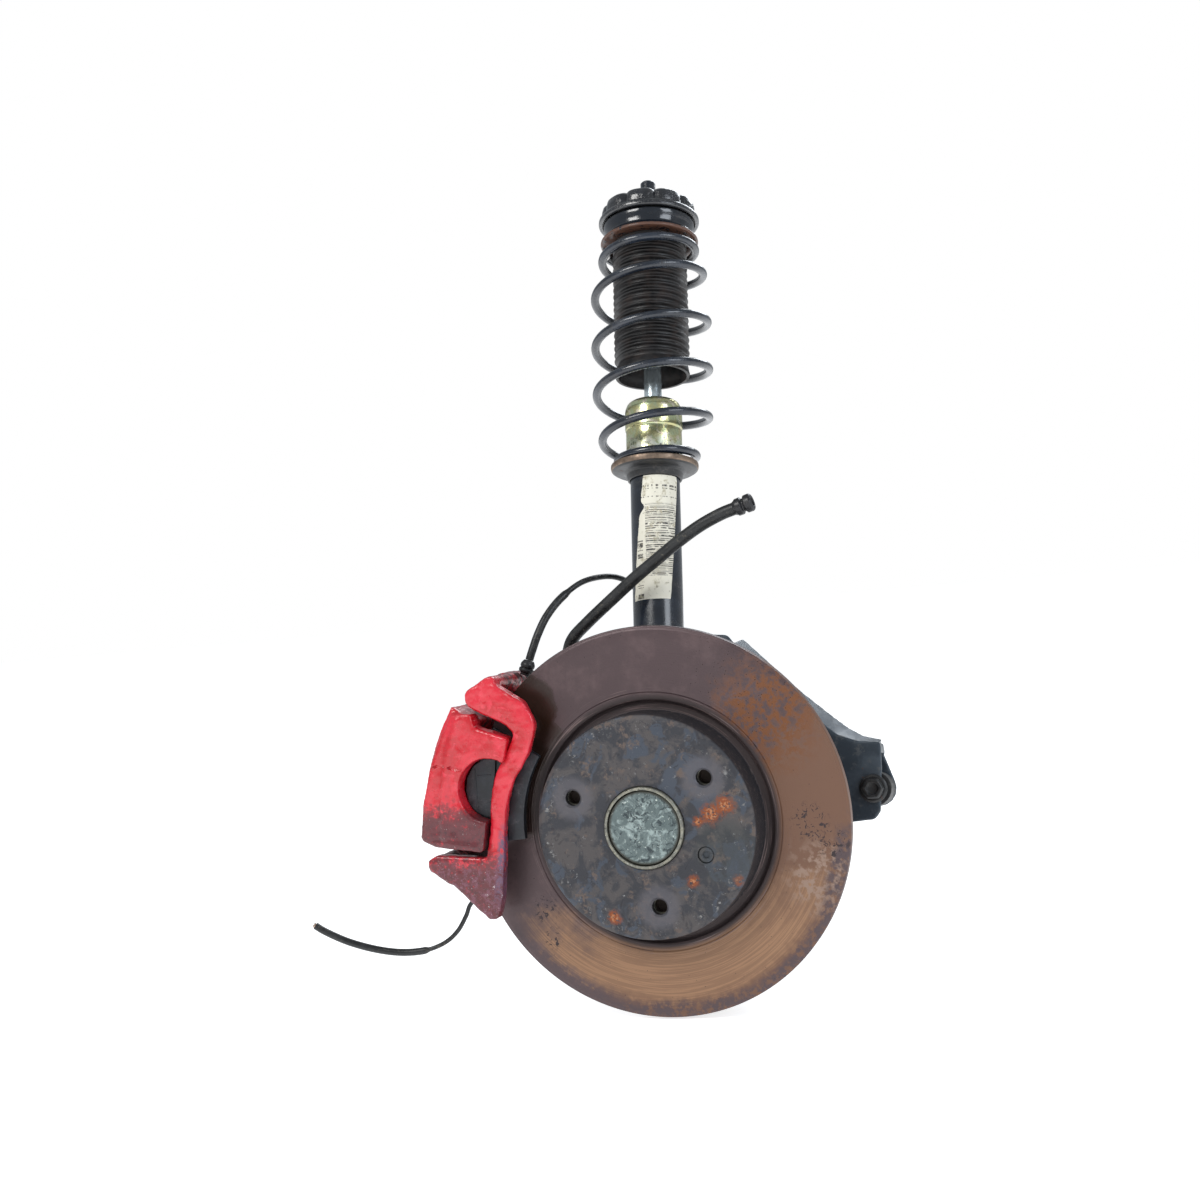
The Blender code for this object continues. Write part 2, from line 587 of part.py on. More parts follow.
def build_ball_cage(balls=8, around=32, sides=6):
    """A cage whose thickness swells at each ball."""
    vertices, faces = [], []
    for k in range(around):
        angle = math.tau * k / around
        swell = 0.5 + 0.5 * math.cos(balls * angle)
        thick, wide = 0.8 + 0.75 * swell, 3.0 + 2.5 * (1 - swell) ** 2
        for j in range(sides):
            a = math.tau * j / sides
            r = 19.3 + thick * math.cos(a)
            vertices.append((r * math.cos(angle), r * math.sin(angle), wide * math.sin(a)))
    for k in range(around):
        for j in range(sides):
            m, i = (k + 1) % around, (j + 1) % sides
            faces.append([k * sides + j, k * sides + i, m * sides + i, m * sides + j])
    add("bearing_ball_cage", vertices, faces, wheel, "zinc")


# ---- brake ----------------------------------------------------------------------------------------
BAR_OUTLINE = (
    (-114.0, 106.5, 4), (-103.0, 106.5, 6), (-83.0, 93.0, 6), (-75.6, 76.0, 8), (-83.0, 55.0, 10), (-95.0, 40.0, 8),
    (-102.0, 22.0, 6), (-105.4, 2.0, 4), (-107.2, -20.0, 2), (-111.0, -48.0, 3), (-115.5, -62.5, 4),
    (-122.0, -62.5, 4), (-149.0, -36.0, 8), (-166.5, -26.0, 5), (-168.0, -19.0, 4), (-160.0, -15.0, 4),
    (-122.0, -17.6, 3), (-116.6, -14.0, 3), (-112.0, 8.0, 3), (-109.8, 26.0, 6), (-104.0, 44.0, 8), (-92.5, 60.0, 8),
    (-88.4, 72.0, 4), (-93.0, 77.0, 3), (-117.0, 88.6, 6), (-128.0, 94.0, 7), (-125.5, 104.0, 7),
)
FINGER_OUTLINE = (
    (-137.5, 88.0, 3), (-122.0, 86.8, 2), (-120.5, 77.0, 2), (-95.0, 68.0, 3), (-99.5, 53.0, 2), (-114.0, 31.5, 0),
    (-116.6, 10.0, 2), (-121.6, -13.2, 2), (-158.0, -8.6, 4), (-169.5, -3.0, 4), (-165.0, 25.5, 10), (-156.5, 50.0, 12),
)
PAD_SPAN = (146.0, 184.0)


def build_bracket():
    bracket = prism("caliper_bracket", rounded(BAR_OUTLINE, 2), 20.7, 31.5, wheel, "red_paint")
    upper_over = prism("upper_over", hull((-119.5, 97.8, 8.0), (-107.5, 107.8, 5.0)), -24.0, 30.6, wheel)
    lower_over = prism("lower_over", hull((-159.0, -22.6, 6.6), (-149.5, -31.5, 5.2)), -23.8, 30.8, wheel)
    upper_leg = prism("upper_leg", hull((-115.0, 99.0, 8.0), (-60.0, 56.0, 8.0)), -23.5, -12.3, wheel)
    lower_leg = prism("lower_leg", hull((-154.0, -28.5, 8.0), (-78.0, -19.0, 8.0)), -23.3, -12.6, wheel)
    plate = prism("inner_plate", sector(64.0, 83.0, 134.0, 198.0), -23.0, -13.0, wheel)
    parts = [upper_over, lower_over, upper_leg, lower_leg, plate]
    for k, ((x, z), r) in enumerate(zip(BRACKET_BOLTS, (10.5, 10.5))):
        parts.append(rod("bolt_pad_%d" % k, (x, 12.0, z), (x, 24.1, z), r, corner))
    for k, (x, z) in enumerate((PIN_UPPER, PIN_LOWER)):
        parts.append(rod("pin_boss_%d" % k, (x, 14.0, z), (x, 40.0, z), 10.0, corner))
    join(bracket, *parts)
    for k, (x, z) in enumerate((PIN_UPPER, PIN_LOWER)):
        cut(bracket, rod("pin_bore_%d" % k, (x, 14.5, z), (x, 60.0, z), PIN_R + GAP, corner))
    for k, (x, z) in enumerate(BRACKET_BOLTS):
        cut(bracket, rod("bolt_bore_%d" % k, (x, 0.0, z), (x, 60.0, z), PIN_R + GAP, corner))


def build_caliper():
    body = prism("caliper_body", rounded(FINGER_OUTLINE, 2), 20.7, 35.0, wheel, "red_paint")
    span = sector(144.8, 166.0, 146.0, 181.5)
    bridge = prism("bridge", span, -50.0, 32.0, wheel)
    saddle = prism("saddle", hull((-141.0, 76.0, 8), (-158.0, 2.0, 8), (*PISTON_AT, 30)), -50.0, -30.0, wheel)
    x, z = PISTON_AT
    housing = rod("housing", (x, 30.0, z), (x, 68.0, z), 31.0, corner, sides=28)
    ears = [
        prism("ear_upper", hull((*PIN_UPPER, 9), (-112.0, 58.0, 14)), -60.0, -52.0, wheel),
        prism("ear_lower", hull((*PIN_LOWER, 9), (-128.0, 6.0, 14)), -60.0, -52.0, wheel),
    ]
    join(body, bridge, saddle, housing, *ears)
    cut(body, rod("window", (-114.0, -60.0, 31.5), (-114.0, -19.0, 31.5), 22.8, corner, sides=28))
    cut(body, rod("cylinder", (x, 10.0, z), (x, 62.0, z), PISTON_R + GAP, corner, sides=28))
    cut(body, rod("port", (-98.0, 55.0, 44.0), (-98.0, 80.0, 44.0), PIN_R + GAP, corner))
    cut(body, rod("bleed_port", (-121.0, 64.0, 46.0), (-121.0, 80.0, 46.0), 3.8, corner))
    for k, (px, pz) in enumerate((PIN_UPPER, PIN_LOWER)):
        cut(body, rod("ear_hole_%d" % k, (px, 45.0, pz), (px, 70.0, pz), PIN_R + GAP, corner))
    base = along((x, 20.6, z), (x, 60.0, z))
    lathe("caliper_piston", (
        (17.5, 0.0), (23.4, 0.0), (PISTON_R, 0.8), (PISTON_R, 35.0), (0.0, 35.0), (0.0, 28.0), (17.5, 28.0),
    ), corner, "zinc", 28, base)
    ring("piston_boot", PISTON_R + GAP, 29.0, 5.9, 9.1, corner, "rubber", 24, base)
    for side, (px, pz) in (("upper", PIN_UPPER), ("lower", PIN_LOWER)):
        hex_bolt("guide_pin_" + side, (px, 68.3, pz), (px, 19.5, pz), PIN_R, 8.0, 8.0, corner, "zinc")
        boot = along((px, 40.3, pz), (px, 60.0, pz))
        lathe("guide_pin_boot_" + side, (
            (5.4, 0.0), (9.4, 0.0), (7.4, 2.0), (9.4, 4.0), (7.4, 6.0), (9.4, 8.0), (8.0, 11.3), (5.4, 11.3),
        ), corner, "rubber", 14, boot)
    bleed = rod("bleed_screw", (-121.0, 65.0, 46.0), (-121.0, 81.0, 46.0), 3.4, corner, "zinc", 12)
    join(bleed, rod("bleed_hex", (-121.0, 68.4, 46.0), (-121.0, 73.5, 46.0), 5.6, corner, None, 6))


def build_pads():
    start, end = PAD_SPAN
    plate = sector(93.5, 134.0, start, end)
    lining = sector(96.5, 131.0, start + 1.6, end - 1.6)
    near = DISC_HALF + 0.6
    for side, sign in (("inner", -1.0), ("outer", 1.0)):
        low, high = sorted((sign * (PAD_BACK - PAD_PLATE), sign * PAD_BACK))
        prism("%s_pad_plate" % side, plate, low, high, wheel, "black_steel")
        low, high = sorted((sign * near, sign * (PAD_BACK - PAD_PLATE - GAP)))
        prism("%s_pad_lining" % side, lining, low, high, wheel, "friction")


def build_hose_and_leads():
    fitting = ring("banjo_fitting", PIN_R + GAP, 9.0, 68.4, 76.4, corner, "zinc", 18,
                   Matrix.Translation((-98.0, 0.0, 44.0)) @ Matrix.Rotation(-math.pi / 2, 4, "X"))
    join(fitting, rod("banjo_tail", (-95.6, 73.2, 51.8), (-91.3, 73.2, 69.8), 4.4, corner))
    hex_bolt("banjo_bolt", (-98.0, 84.0, 44.0), (-98.0, 63.5, 44.0), PIN_R, 8.0, 7.3, corner, "zinc")
    cord("brake_hose", HOSE_ROUTE, HOSE_R, corner, "hose", 2)
    end = Vector(HOSE_ROUTE[-1])
    run = (end - Vector(HOSE_ROUTE[-2])).normalized()
    lathe("hose_end_fitting", (
        (0.0, 0.0), (6.2, 0.0), (6.6, 0.8), (6.6, 5.0), (5.2, 5.6), (5.2, 7.4), (6.8, 8.0), (6.8, 12.4),
        (5.4, 13.4), (3.4, 13.4), (3.4, 9.0), (0.0, 9.0),
    ), corner, "black_steel", 16, along(end + run * GAP, end + run * 10))
    cord("wear_sensor_lead", LEAD_ROUTE, LEAD_R, corner, "hose", 2)
    first = Vector(LEAD_ROUTE[0])
    base = Vector((-106.4, 31.2, 111.6))
    span = (first - base).normalized()
    lathe("lead_ferrule", (
        (0.0, 0.0), (3.8, 0.0), (3.8, 2.0), (5.6, 2.4), (5.6, 5.0), (4.4, 5.6), (5.4, 6.2), (5.4, 8.6),
        (3.6, 11.2), (0.0, 11.2),
    ), corner, "plastic", 14, along(first - span * 12.1, first))
    plug = Vector(LEAD_ROUTE[-1])
    prism("lead_connector", rounded(((-33.5, 119.5, 2), (-18.5, 119.5, 2), (-18.5, 131.5, 2), (-33.5, 131.5, 2))),
          plug.z - 26.0, plug.z - 0.8, corner, "plastic")
    cord("abs_sensor_lead", CUT_LEAD_ROUTE, CUT_LEAD_R, corner, "hose", 2)


# ---- lower arm --------------------------------------------------------------------------------
ARM_PLATE = (
    (-20.0, 4.0, 8), (-20.0, -14.0, 9), (-4.0, -22.0, 9), (14.0, -18.0, 9), (30.0, 10.0, 20), (62.0, 46.0, 30),
    (92.0, 76.0, 20), (104.0, 80.6, 8), (122.0, 82.0, 5), (126.8, 88.0, 4), (129.5, 120.0, 3), (129.8, 139.0, 3),
    (112.0, 140.6, 8), (96.0, 147.0, 10), (78.0, 164.0, 20), (24.0, 218.0, 9), (17.0, 228.0, 6), (-4.0, 230.0, 6),
    (-4.0, 190.0, 10), (5.0, 110.0, 40), (5.0, 50.0, 20), (-8.0, 22.0, 8),
)
EDGE_NEAR = ((20.0, 221.0), (60.0, 182.0), (82.0, 160.0), (97.0, 146.6), (112.0, 140.8), (128.6, 139.4))
EDGE_FAR = ((24.0, 226.5), (68.8, 181.5), (91.0, 162.0), (104.0, 151.5), (115.0, 145.0), (129.0, 141.6))
ARM_DEPTH = (24.0, 24.0, 24.0, 22.0, 20.0, 18.0)
ARM_STEEL = 3.0


def build_ribbon(name, near, far, depths, thick):
    """A bent flange from the plate's edge back to a second edge, of one thickness."""
    vertices, faces = [], []
    for (nx, ny), (fx, fy), depth in zip(near, far, depths):
        slip = Vector((-1.0, -1.0)).normalized() * thick * 1.3
        vertices += [
            (nx, ny, -0.6), (fx, fy, -depth), (fx + slip.x, fy + slip.y, -depth), (nx + slip.x, ny + slip.y, -0.6),
        ]
    for k in range(len(near) - 1):
        for j in range(4):
            i = (j + 1) % 4
            faces.append([4 * k + j, 4 * k + i, 4 * k + 4 + i, 4 * k + 4 + j])
    last = 4 * (len(near) - 1)
    faces += [[0, 1, 2, 3], [last, last + 1, last + 2, last + 3]]
    return add(name, vertices, faces, arm, None)


def build_lower_arm():
    plate = prism("lower_arm", rounded(ARM_PLATE), -ARM_STEEL, 0.0, arm, "arm_steel")
    flange = build_ribbon("flange", EDGE_NEAR, EDGE_FAR, ARM_DEPTH, ARM_STEEL)
    shoulder = prism("shoulder", ((97.0, 141.5), (128.0, 138.6), (128.6, 131.0), (97.0, 133.5)), -30.0, -1.0, arm)
    back_ear = prism("back_ear", hull((*BUSH_AT, 13.5), (104.0, 128.0, 8.0), (122.0, 132.0, 5.0)), -30.0, -27.0, arm)
    rim = prism("inner_rim", rounded(((5.0, 50.0, 8), (9.0, 50.0, 8), (9.0, 150.0, 8), (1.5, 190.0, 8),
                                      (-2.8, 190.0, 8), (5.0, 110.0, 20))), -16.0, -1.0, arm)
    lower_rim = prism("lower_rim", ((31.0, 14.0), (62.0, 48.5), (91.0, 77.5), (89.0, 80.5), (60.0, 52.0),
                                    (29.0, 17.5)), -16.0, -1.0, arm)
    eye = prism("rear_eye", circle(*REAR_BUSH_AT, 14.6, 24), -16.0, 2.0, arm)
    join(plate, flange, shoulder, back_ear, rim, lower_rim, eye)
    cut(plate, prism("ball_seat", circle(0.0, 0.0, 18.8, 24), -30.0, 30.0, arm))
    cut(plate, prism("light_hole", circle(48.0, 118.0, 17.0, 20), -30.0, 30.0, arm))
    cut(plate, prism("bush_hole", circle(*BUSH_AT, 6.2, 16), -60.0, 30.0, arm))
    cut(plate, prism("rear_eye_hole", circle(*REAR_BUSH_AT, 12.3, 24), -60.0, 30.0, arm))

    lathe("ball_joint_housing", housing_profile(), arm, "black_steel", 24)
    at_bush = Matrix.Translation((*BUSH_AT, 0.0))
    lathe("front_arm_bush", (
        (6.2, -26.7), (BUSH_R, -26.7), (BUSH_R, -3.3), (6.2, -3.3),
    ), arm, "rubber", 24, at_bush)
    bolt = hex_bolt("front_bush_bolt", (*BUSH_AT, 8.0), (*BUSH_AT, -38.0), 5.8, 9.6, 7.6, arm, "black_steel")
    join(bolt, prism("bolt_flange", circle(*BUSH_AT, 10.6, 24), 0.3, 2.0, arm))
    nut = prism("front_bush_nut", circle(*BUSH_AT, 9.8, 6), -37.0, -30.3, arm, "zinc")
    cut(nut, prism("front_nut_hole", circle(*BUSH_AT, 6.2, 16), -50.0, 0.0, arm))
    at_rear = Matrix.Translation((*REAR_BUSH_AT, 0.0))
    lathe("rear_arm_bush", (
        (5.2, -20.0), (14.0, -20.0), (14.0, -16.3), (12.0, -16.3), (12.0, 2.3), (14.0, 2.3), (14.0, 6.0), (5.2, 6.0),
    ), arm, "rubber", 24, at_rear)


def housing_profile(cavity=13.2, lip=5.0, floor=-12.2, steps=5):
    """The ball joint's cup: a hollow sphere open towards the stud."""
    outline = [(0.0, -15.5), (14.0, -15.5), (18.5, -12.0), (18.5, 7.0), (16.5, 9.0), (13.4, 9.0)]
    top, bottom = math.asin(lip / cavity), math.asin(floor / cavity)
    for k in range(steps + 1):
        a = top + (bottom - top) * k / steps
        outline.append((cavity * math.cos(a), cavity * math.sin(a)))
    outline.append((0.0, floor))
    return outline


def build_ball_joint():
    """The stud is fixed in the knuckle; the liner turns on its ball about the stud's axis."""
    base = along(BALL_AT, Vector(BALL_AT) + STUD_DIR)
    neck, steps = 5.2, 7
    start, end = -math.pi / 2, math.acos(neck / BALL_R)
    outline = [(0.0, -BALL_R)]
    for k in range(1, steps + 1):
        a = start + (end - start) * k / steps
        outline.append((BALL_R * math.cos(a), BALL_R * math.sin(a)))
    outline += [(neck, 16.0), (7.0, 20.0), (7.0, 47.0), (0.0, 47.0)]
    lathe("ball_stud", outline, corner, "zinc", 20, base)

    outer, inner = 12.1, 11.45
    low, high = math.radians(-68), math.radians(48)
    shell = []
    for radius, order in ((outer, range(6)), (inner, range(5, -1, -1))):
        for k in order:
            a = low + (high - low) * k / 5
            shell.append((radius * math.cos(a), radius * math.sin(a)))
    lathe("ball_joint_liner", shell, corner, "plastic", 20, base)


# ---- the whole assembly -------------------------------------------------------------------------
build_top_mount()
build_spring_carrier()
build_damper()
build_lead_clip()
build_knuckle()
build_wheel_end()
build_ball_cage()
build_bracket()
build_caliper()
build_pads()
build_hose_and_leads()
build_lower_arm()
build_ball_joint()
bpy.context.view_layer.update()
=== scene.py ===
"""Looks for the front suspension strut leg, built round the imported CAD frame.

Shapes are written in millimetres in the part's own frames (strut, wheel, hub corner, lower arm) and
placed by one matrix each, so that every piece lands in the row frame in metres.
"""

import math

import bmesh
import bpy
from mathutils import Matrix, Vector, noise


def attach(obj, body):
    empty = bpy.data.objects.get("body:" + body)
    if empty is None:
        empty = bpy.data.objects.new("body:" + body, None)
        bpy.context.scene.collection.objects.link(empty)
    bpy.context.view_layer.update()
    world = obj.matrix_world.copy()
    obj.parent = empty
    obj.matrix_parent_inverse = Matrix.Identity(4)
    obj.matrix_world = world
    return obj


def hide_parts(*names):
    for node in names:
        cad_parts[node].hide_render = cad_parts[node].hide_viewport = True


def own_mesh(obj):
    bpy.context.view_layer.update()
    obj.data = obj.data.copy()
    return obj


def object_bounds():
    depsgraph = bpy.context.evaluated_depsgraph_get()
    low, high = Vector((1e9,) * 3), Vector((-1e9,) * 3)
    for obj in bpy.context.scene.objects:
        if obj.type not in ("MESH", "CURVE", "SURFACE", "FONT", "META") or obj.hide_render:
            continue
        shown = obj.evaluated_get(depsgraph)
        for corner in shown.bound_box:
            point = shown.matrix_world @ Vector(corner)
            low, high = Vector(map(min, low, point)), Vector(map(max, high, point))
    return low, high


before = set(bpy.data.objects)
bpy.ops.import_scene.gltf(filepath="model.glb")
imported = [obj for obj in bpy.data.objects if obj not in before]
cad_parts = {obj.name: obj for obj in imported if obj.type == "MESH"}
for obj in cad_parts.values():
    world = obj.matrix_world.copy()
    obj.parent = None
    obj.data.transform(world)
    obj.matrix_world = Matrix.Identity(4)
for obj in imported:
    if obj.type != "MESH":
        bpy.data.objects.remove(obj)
CAD_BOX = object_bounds()

# ---- frames ---------------------------------------------------------------------------------
MM = 0.001
LEAN = math.radians(12.4)
STRUT_X, STRUT_Y, SEAT_HEIGHT = -11.3, 58.3, 491.4
BALL_AT = Vector((20.0, 78.0, -100.0))
ARM_LEAN = math.radians(8.0)
LUG_ANGLES = (36.1, 156.1, 276.1)
LUG_R = 56.0
SWEPT_Y = -5.0        # the disc's outer swept face
HAT_Y = -30.5         # the hat's outer face
GUIDE_PINS = (("upper", -114.0, 103.0), ("lower", -152.0, -30.0))
HUB = Vector((-STRUT_X, -(STRUT_Y + SEAT_HEIGHT * math.sin(LEAN)), -SEAT_HEIGHT * math.cos(LEAN)))
STRUT_DIR = Vector((0.0, math.sin(LEAN), math.cos(LEAN)))

TO_METRES = Matrix.Scale(MM, 4)
STRUT = Matrix.Rotation(-LEAN, 4, "X") @ TO_METRES @ Matrix.Translation((0.0, 0.0, -SEAT_HEIGHT))
CORNER = TO_METRES @ Matrix.Translation(HUB)
WHEEL = CORNER @ Matrix.Rotation(math.pi / 2, 4, "X")
ARM = CORNER @ Matrix.Translation(BALL_AT) @ Matrix.Rotation(math.pi / 2 - ARM_LEAN, 4, "X")


def lug_points():
    return [(LUG_R * math.cos(math.radians(a)), LUG_R * math.sin(math.radians(a))) for a in LUG_ANGLES]


# ---- camera ---------------------------------------------------------------------------------
CAMERA_AT = (310.9, -1027.7, 158.6)      # from the hub
AZIMUTH, ELEVATION, ROLL = (math.radians(a) for a in (18.25, -0.117, -4.883))


def make_camera():
    data = bpy.data.cameras.new("camera")
    data.lens, data.sensor_width = 45.0, 36.0
    data.clip_start, data.clip_end = 0.05, 60.0
    camera = bpy.data.objects.new("camera", data)
    bpy.context.scene.collection.objects.link(camera)
    back = Vector((
        math.sin(AZIMUTH) * math.cos(ELEVATION), -math.cos(AZIMUTH) * math.cos(ELEVATION),
        math.sin(ELEVATION),
    ))
    right = Vector((math.cos(AZIMUTH), math.sin(AZIMUTH), 0.0))
    up = back.cross(right)
    turned_right = right * math.cos(ROLL) + up * math.sin(ROLL)
    turned_up = up * math.cos(ROLL) - right * math.sin(ROLL)
    basis = Matrix((turned_right, turned_up, back)).transposed().to_4x4()
    camera.matrix_world = Matrix.Translation(CORNER @ Vector(CAMERA_AT)) @ basis
    bpy.context.scene.camera = camera


# ---- materials ------------------------------------------------------------------------------
class Look:
    """A material whose colour, roughness and relief come from nodes in object space, in metres."""

    def __init__(self, name, colour, rough, metal=0.0, **fixed):
        self.material = bpy.data.materials.new(name)
        self.material.use_nodes = True
        self.tree = self.material.node_tree
        self.shader = self.tree.nodes["Principled BSDF"]
        self.place = self.tree.nodes.new("ShaderNodeTexCoord").outputs["Object"]
        self.colour, self.rough, self.metal, self.normal = (*colour, 1.0), rough, metal, None
        for socket, value in fixed.items():
            self.shader.inputs[socket.replace("_", " ")].default_value = value

    def put(self, socket, value):
        if isinstance(value, bpy.types.NodeSocket):
            self.tree.links.new(value, socket)
        else:
            socket.default_value = value

    def add(self, kind, output=0, **inputs):
        node = self.tree.nodes.new("ShaderNode" + kind)
        for key, value in inputs.items():
            self.put(node.inputs[key], value)
        return node, node.outputs[output]

    def calc(self, operation, *values, clamp=False):
        node = self.tree.nodes.new("ShaderNodeMath")
        node.operation, node.use_clamp = operation, clamp
        for socket, value in zip(node.inputs, values):
            self.put(socket, value)
        return node.outputs[0]

    def vector(self, operation, a, b, output=0):
        node = self.tree.nodes.new("ShaderNodeVectorMath")
        node.operation = operation
        self.put(node.inputs[0], a)
        self.put(node.inputs[1], b)
        return node.outputs[output]

    def noise(self, size, detail=5.0, rough=0.6, warp=0.0, at=None):
        """Noise whose lumps are about size millimetres."""
        _, value = self.add("TexNoise", Scale=1.0 / (size * MM), Detail=detail, Roughness=rough,
                            Distortion=warp,
                               Vector=at or self.place)
        return value

    def cells(self, size, feature="F1", at=None, random=1.0):
        node, value = self.add("TexVoronoi", Scale=1.0 / (size * MM), Randomness=random,
                               Vector=at or self.place)
        node.feature = feature
        return value

    def mask(self, value, low, high):
        """0 below low and 1 above high, or the other way round when low is the larger."""
        node = self.tree.nodes.new("ShaderNodeMapRange")
        node.interpolation_type = "SMOOTHSTEP"
        self.put(node.inputs["Value"], value)
        node.inputs["From Min"].default_value = min(low, high)
        node.inputs["From Max"].default_value = max(low, high)
        node.inputs["To Min"].default_value = 1.0 if low > high else 0.0
        node.inputs["To Max"].default_value = 0.0 if low > high else 1.0
        return node.outputs[0]

    def blend(self, share, a, b, kind="RGBA"):
        node = self.tree.nodes.new("ShaderNodeMix")
        node.data_type = kind
        first = 6 if kind == "RGBA" else 2
        self.put(node.inputs[0], share)
        self.put(node.inputs[first], a)
        self.put(node.inputs[first + 1], b)
        return node.outputs[2 if kind == "RGBA" else 0]

    def tint(self, share, colour, rough=None, metal=None):
        """Lays a colour over the ones before it, where share is 1."""
        if not isinstance(colour, bpy.types.NodeSocket):
            colour = (*colour, 1.0)
        self.colour = self.blend(share, self.colour, colour)
        if rough is not None:
            self.rough = self.blend(share, self.rough, rough, "FLOAT")
        if metal is not None:
            self.metal = self.blend(share, self.metal, metal, "FLOAT")

    def patch(self, lumps, low, high, colour, *finish, share=1.0):
        """A colour where noise is high; lumps is what noise() takes, finish is roughness and metal."""
        where = self.mask(self.noise(*lumps), low, high)
        self.tint(where if share == 1.0 else self.calc("MULTIPLY", where, share), colour, *finish)

    def relief(self, height, depth, strength=1.0):
        """Bumps depth millimetres high."""
        node = self.tree.nodes.new("ShaderNodeBump")
        node.inputs["Distance"].default_value = depth * MM
        node.inputs["Strength"].default_value = strength
        self.put(node.inputs["Height"], height)
        if self.normal is not None:
            self.put(node.inputs["Normal"], self.normal)
        self.normal = node.outputs[0]

    def hub_axes(self):
        """Millimetres from the hub along X, Y and Z."""
        offset = self.vector("SUBTRACT", self.place, tuple(HUB * MM))
        node, _ = self.add("SeparateXYZ", Vector=offset)
        return [self.calc("MULTIPLY", socket, 1000.0) for socket in node.outputs]

    def up_strut(self):
        """Millimetres above the hub along the strut."""
        along = self.vector("DOT_PRODUCT", self.place, tuple(STRUT_DIR), 1)
        return self.calc("MULTIPLY_ADD", along, 1000.0, SEAT_HEIGHT)

    def spot(self, point, size, soft=0.5, ragged=0.8, lump=6.0):
        """1 inside a ragged patch of size millimetres round a point given from the hub."""
        away = self.vector("DISTANCE", self.place, tuple((HUB + Vector(point)) * MM), 1)
        wobble = self.calc("MULTIPLY_ADD", self.noise(lump, 4.0), ragged * size, -0.5 * ragged * size)
        reach = self.calc("MULTIPLY_ADD", away, 1000.0, wobble)
        return self.mask(reach, size * (1.0 + soft), size * (1.0 - soft))

    def both(self, *masks):
        result = masks[0]
        for other in masks[1:]:
            result = self.calc("MULTIPLY", result, other, clamp=True)
        return result

    def done(self):
        self.put(self.shader.inputs["Base Color"], self.colour)
        self.put(self.shader.inputs["Roughness"], self.rough)
        self.put(self.shader.inputs["Metallic"], self.metal)
        if self.normal is not None:
            self.put(self.shader.inputs["Normal"], self.normal)
        return self.material


def dusty(look, amount, colour=(0.16, 0.14, 0.12), lump=14.0):
    """Dust and dried water in uneven patches."""
    patches = look.both(look.mask(look.noise(lump, 6.0, 0.65), 0.48, 0.75),
                        look.mask(look.noise(1.2, 3.0), 0.35, 0.7))
    look.tint(look.calc("MULTIPLY", patches, amount), colour, 0.7)


def black_paint(name, colour=(0.0065, 0.009, 0.014), rough=0.22, lumps=0.25, dust=0.35, rust=0.0, sheen=0.3):
    look = Look(name, colour, rough, Coat_Weight=sheen, Coat_Roughness=0.12)
    look.patch((22.0, 4.0), 0.4, 0.65, tuple(c * 1.9 for c in colour), rough + 0.1)
    dusty(look, dust)
    chips = look.mask(look.noise(3.0, 7.0, 0.7, 0.6), 0.66, 0.7)
    look.tint(look.calc("MULTIPLY", chips, 0.55), (0.11, 0.115, 0.12), 0.45)
    if rust:
        brown = look.mask(look.noise(9.0, 7.0, 0.72, 0.3), 0.72 - 0.3 * rust, 0.8 - 0.3 * rust)
        look.tint(brown, (0.085, 0.03, 0.012), 0.8)
    look.relief(look.noise(2.4, 3.0), lumps)
    look.relief(look.noise(0.5, 3.0), 0.05, 0.6)
    return look.done()


def seat_shell():
    """Glossy black upper seat with a brown rust line at its lower flange."""
    look = Look("upper_seat_gloss", (0.005, 0.0075, 0.0125), 0.16, Coat_Weight=0.5, Coat_Roughness=0.12)
    height = look.up_strut()
    dusty(look, 0.25)
    rust = look.both(look.mask(height, 460.6, 458.6), look.mask(look.noise(5.0, 6.0, 0.7), 0.36, 0.5))
    look.tint(rust, (0.09, 0.035, 0.018), 0.7)
    look.relief(look.noise(5.0, 3.0), 0.25)
    return look.done()


def rubber(name, colour=(0.0055, 0.0055, 0.0062), rough=0.5, dust=0.4, grain=0.06, brown=0.0):
    look = Look(name, colour, rough)
    look.patch((16.0,), 0.42, 0.7, tuple(c * 2.2 for c in colour), rough + 0.18)
    if brown:
        look.patch((11.0, 6.0), 0.45, 0.7, (0.035, 0.018, 0.012), 0.75, share=brown)
    dusty(look, dust, (0.11, 0.1, 0.09), 8.0)
    look.relief(look.noise(0.7, 5.0, 0.7), grain)
    return look.done()


def plated(name, colour=(0.42, 0.43, 0.43), rough=0.34, dirt=0.6, rust=0.4):
    """Zinc-plated steel: dull patches, dark grime and a few rust spots."""
    look = Look(name, colour, rough, 1.0)
    look.patch((5.0,), 0.4, 0.7, tuple(c * 0.6 for c in colour), rough + 0.16)
    grime = look.calc("MULTIPLY", look.mask(look.noise(9.0, 6.0, 0.7), 0.46, 0.62), dirt)
    look.tint(grime, (0.03, 0.026, 0.022), 0.7, 0.1)
    spots = look.both(look.mask(look.noise(4.0, 7.0, 0.75), 0.56, 0.66),
                      look.mask(look.noise(14.0), 0.4, 0.6))
    look.tint(look.calc("MULTIPLY", spots, rust), (0.2, 0.06, 0.015), 0.85, 0.0)
    look.relief(look.noise(0.8, 4.0), 0.06, 0.7)
    return look.done()


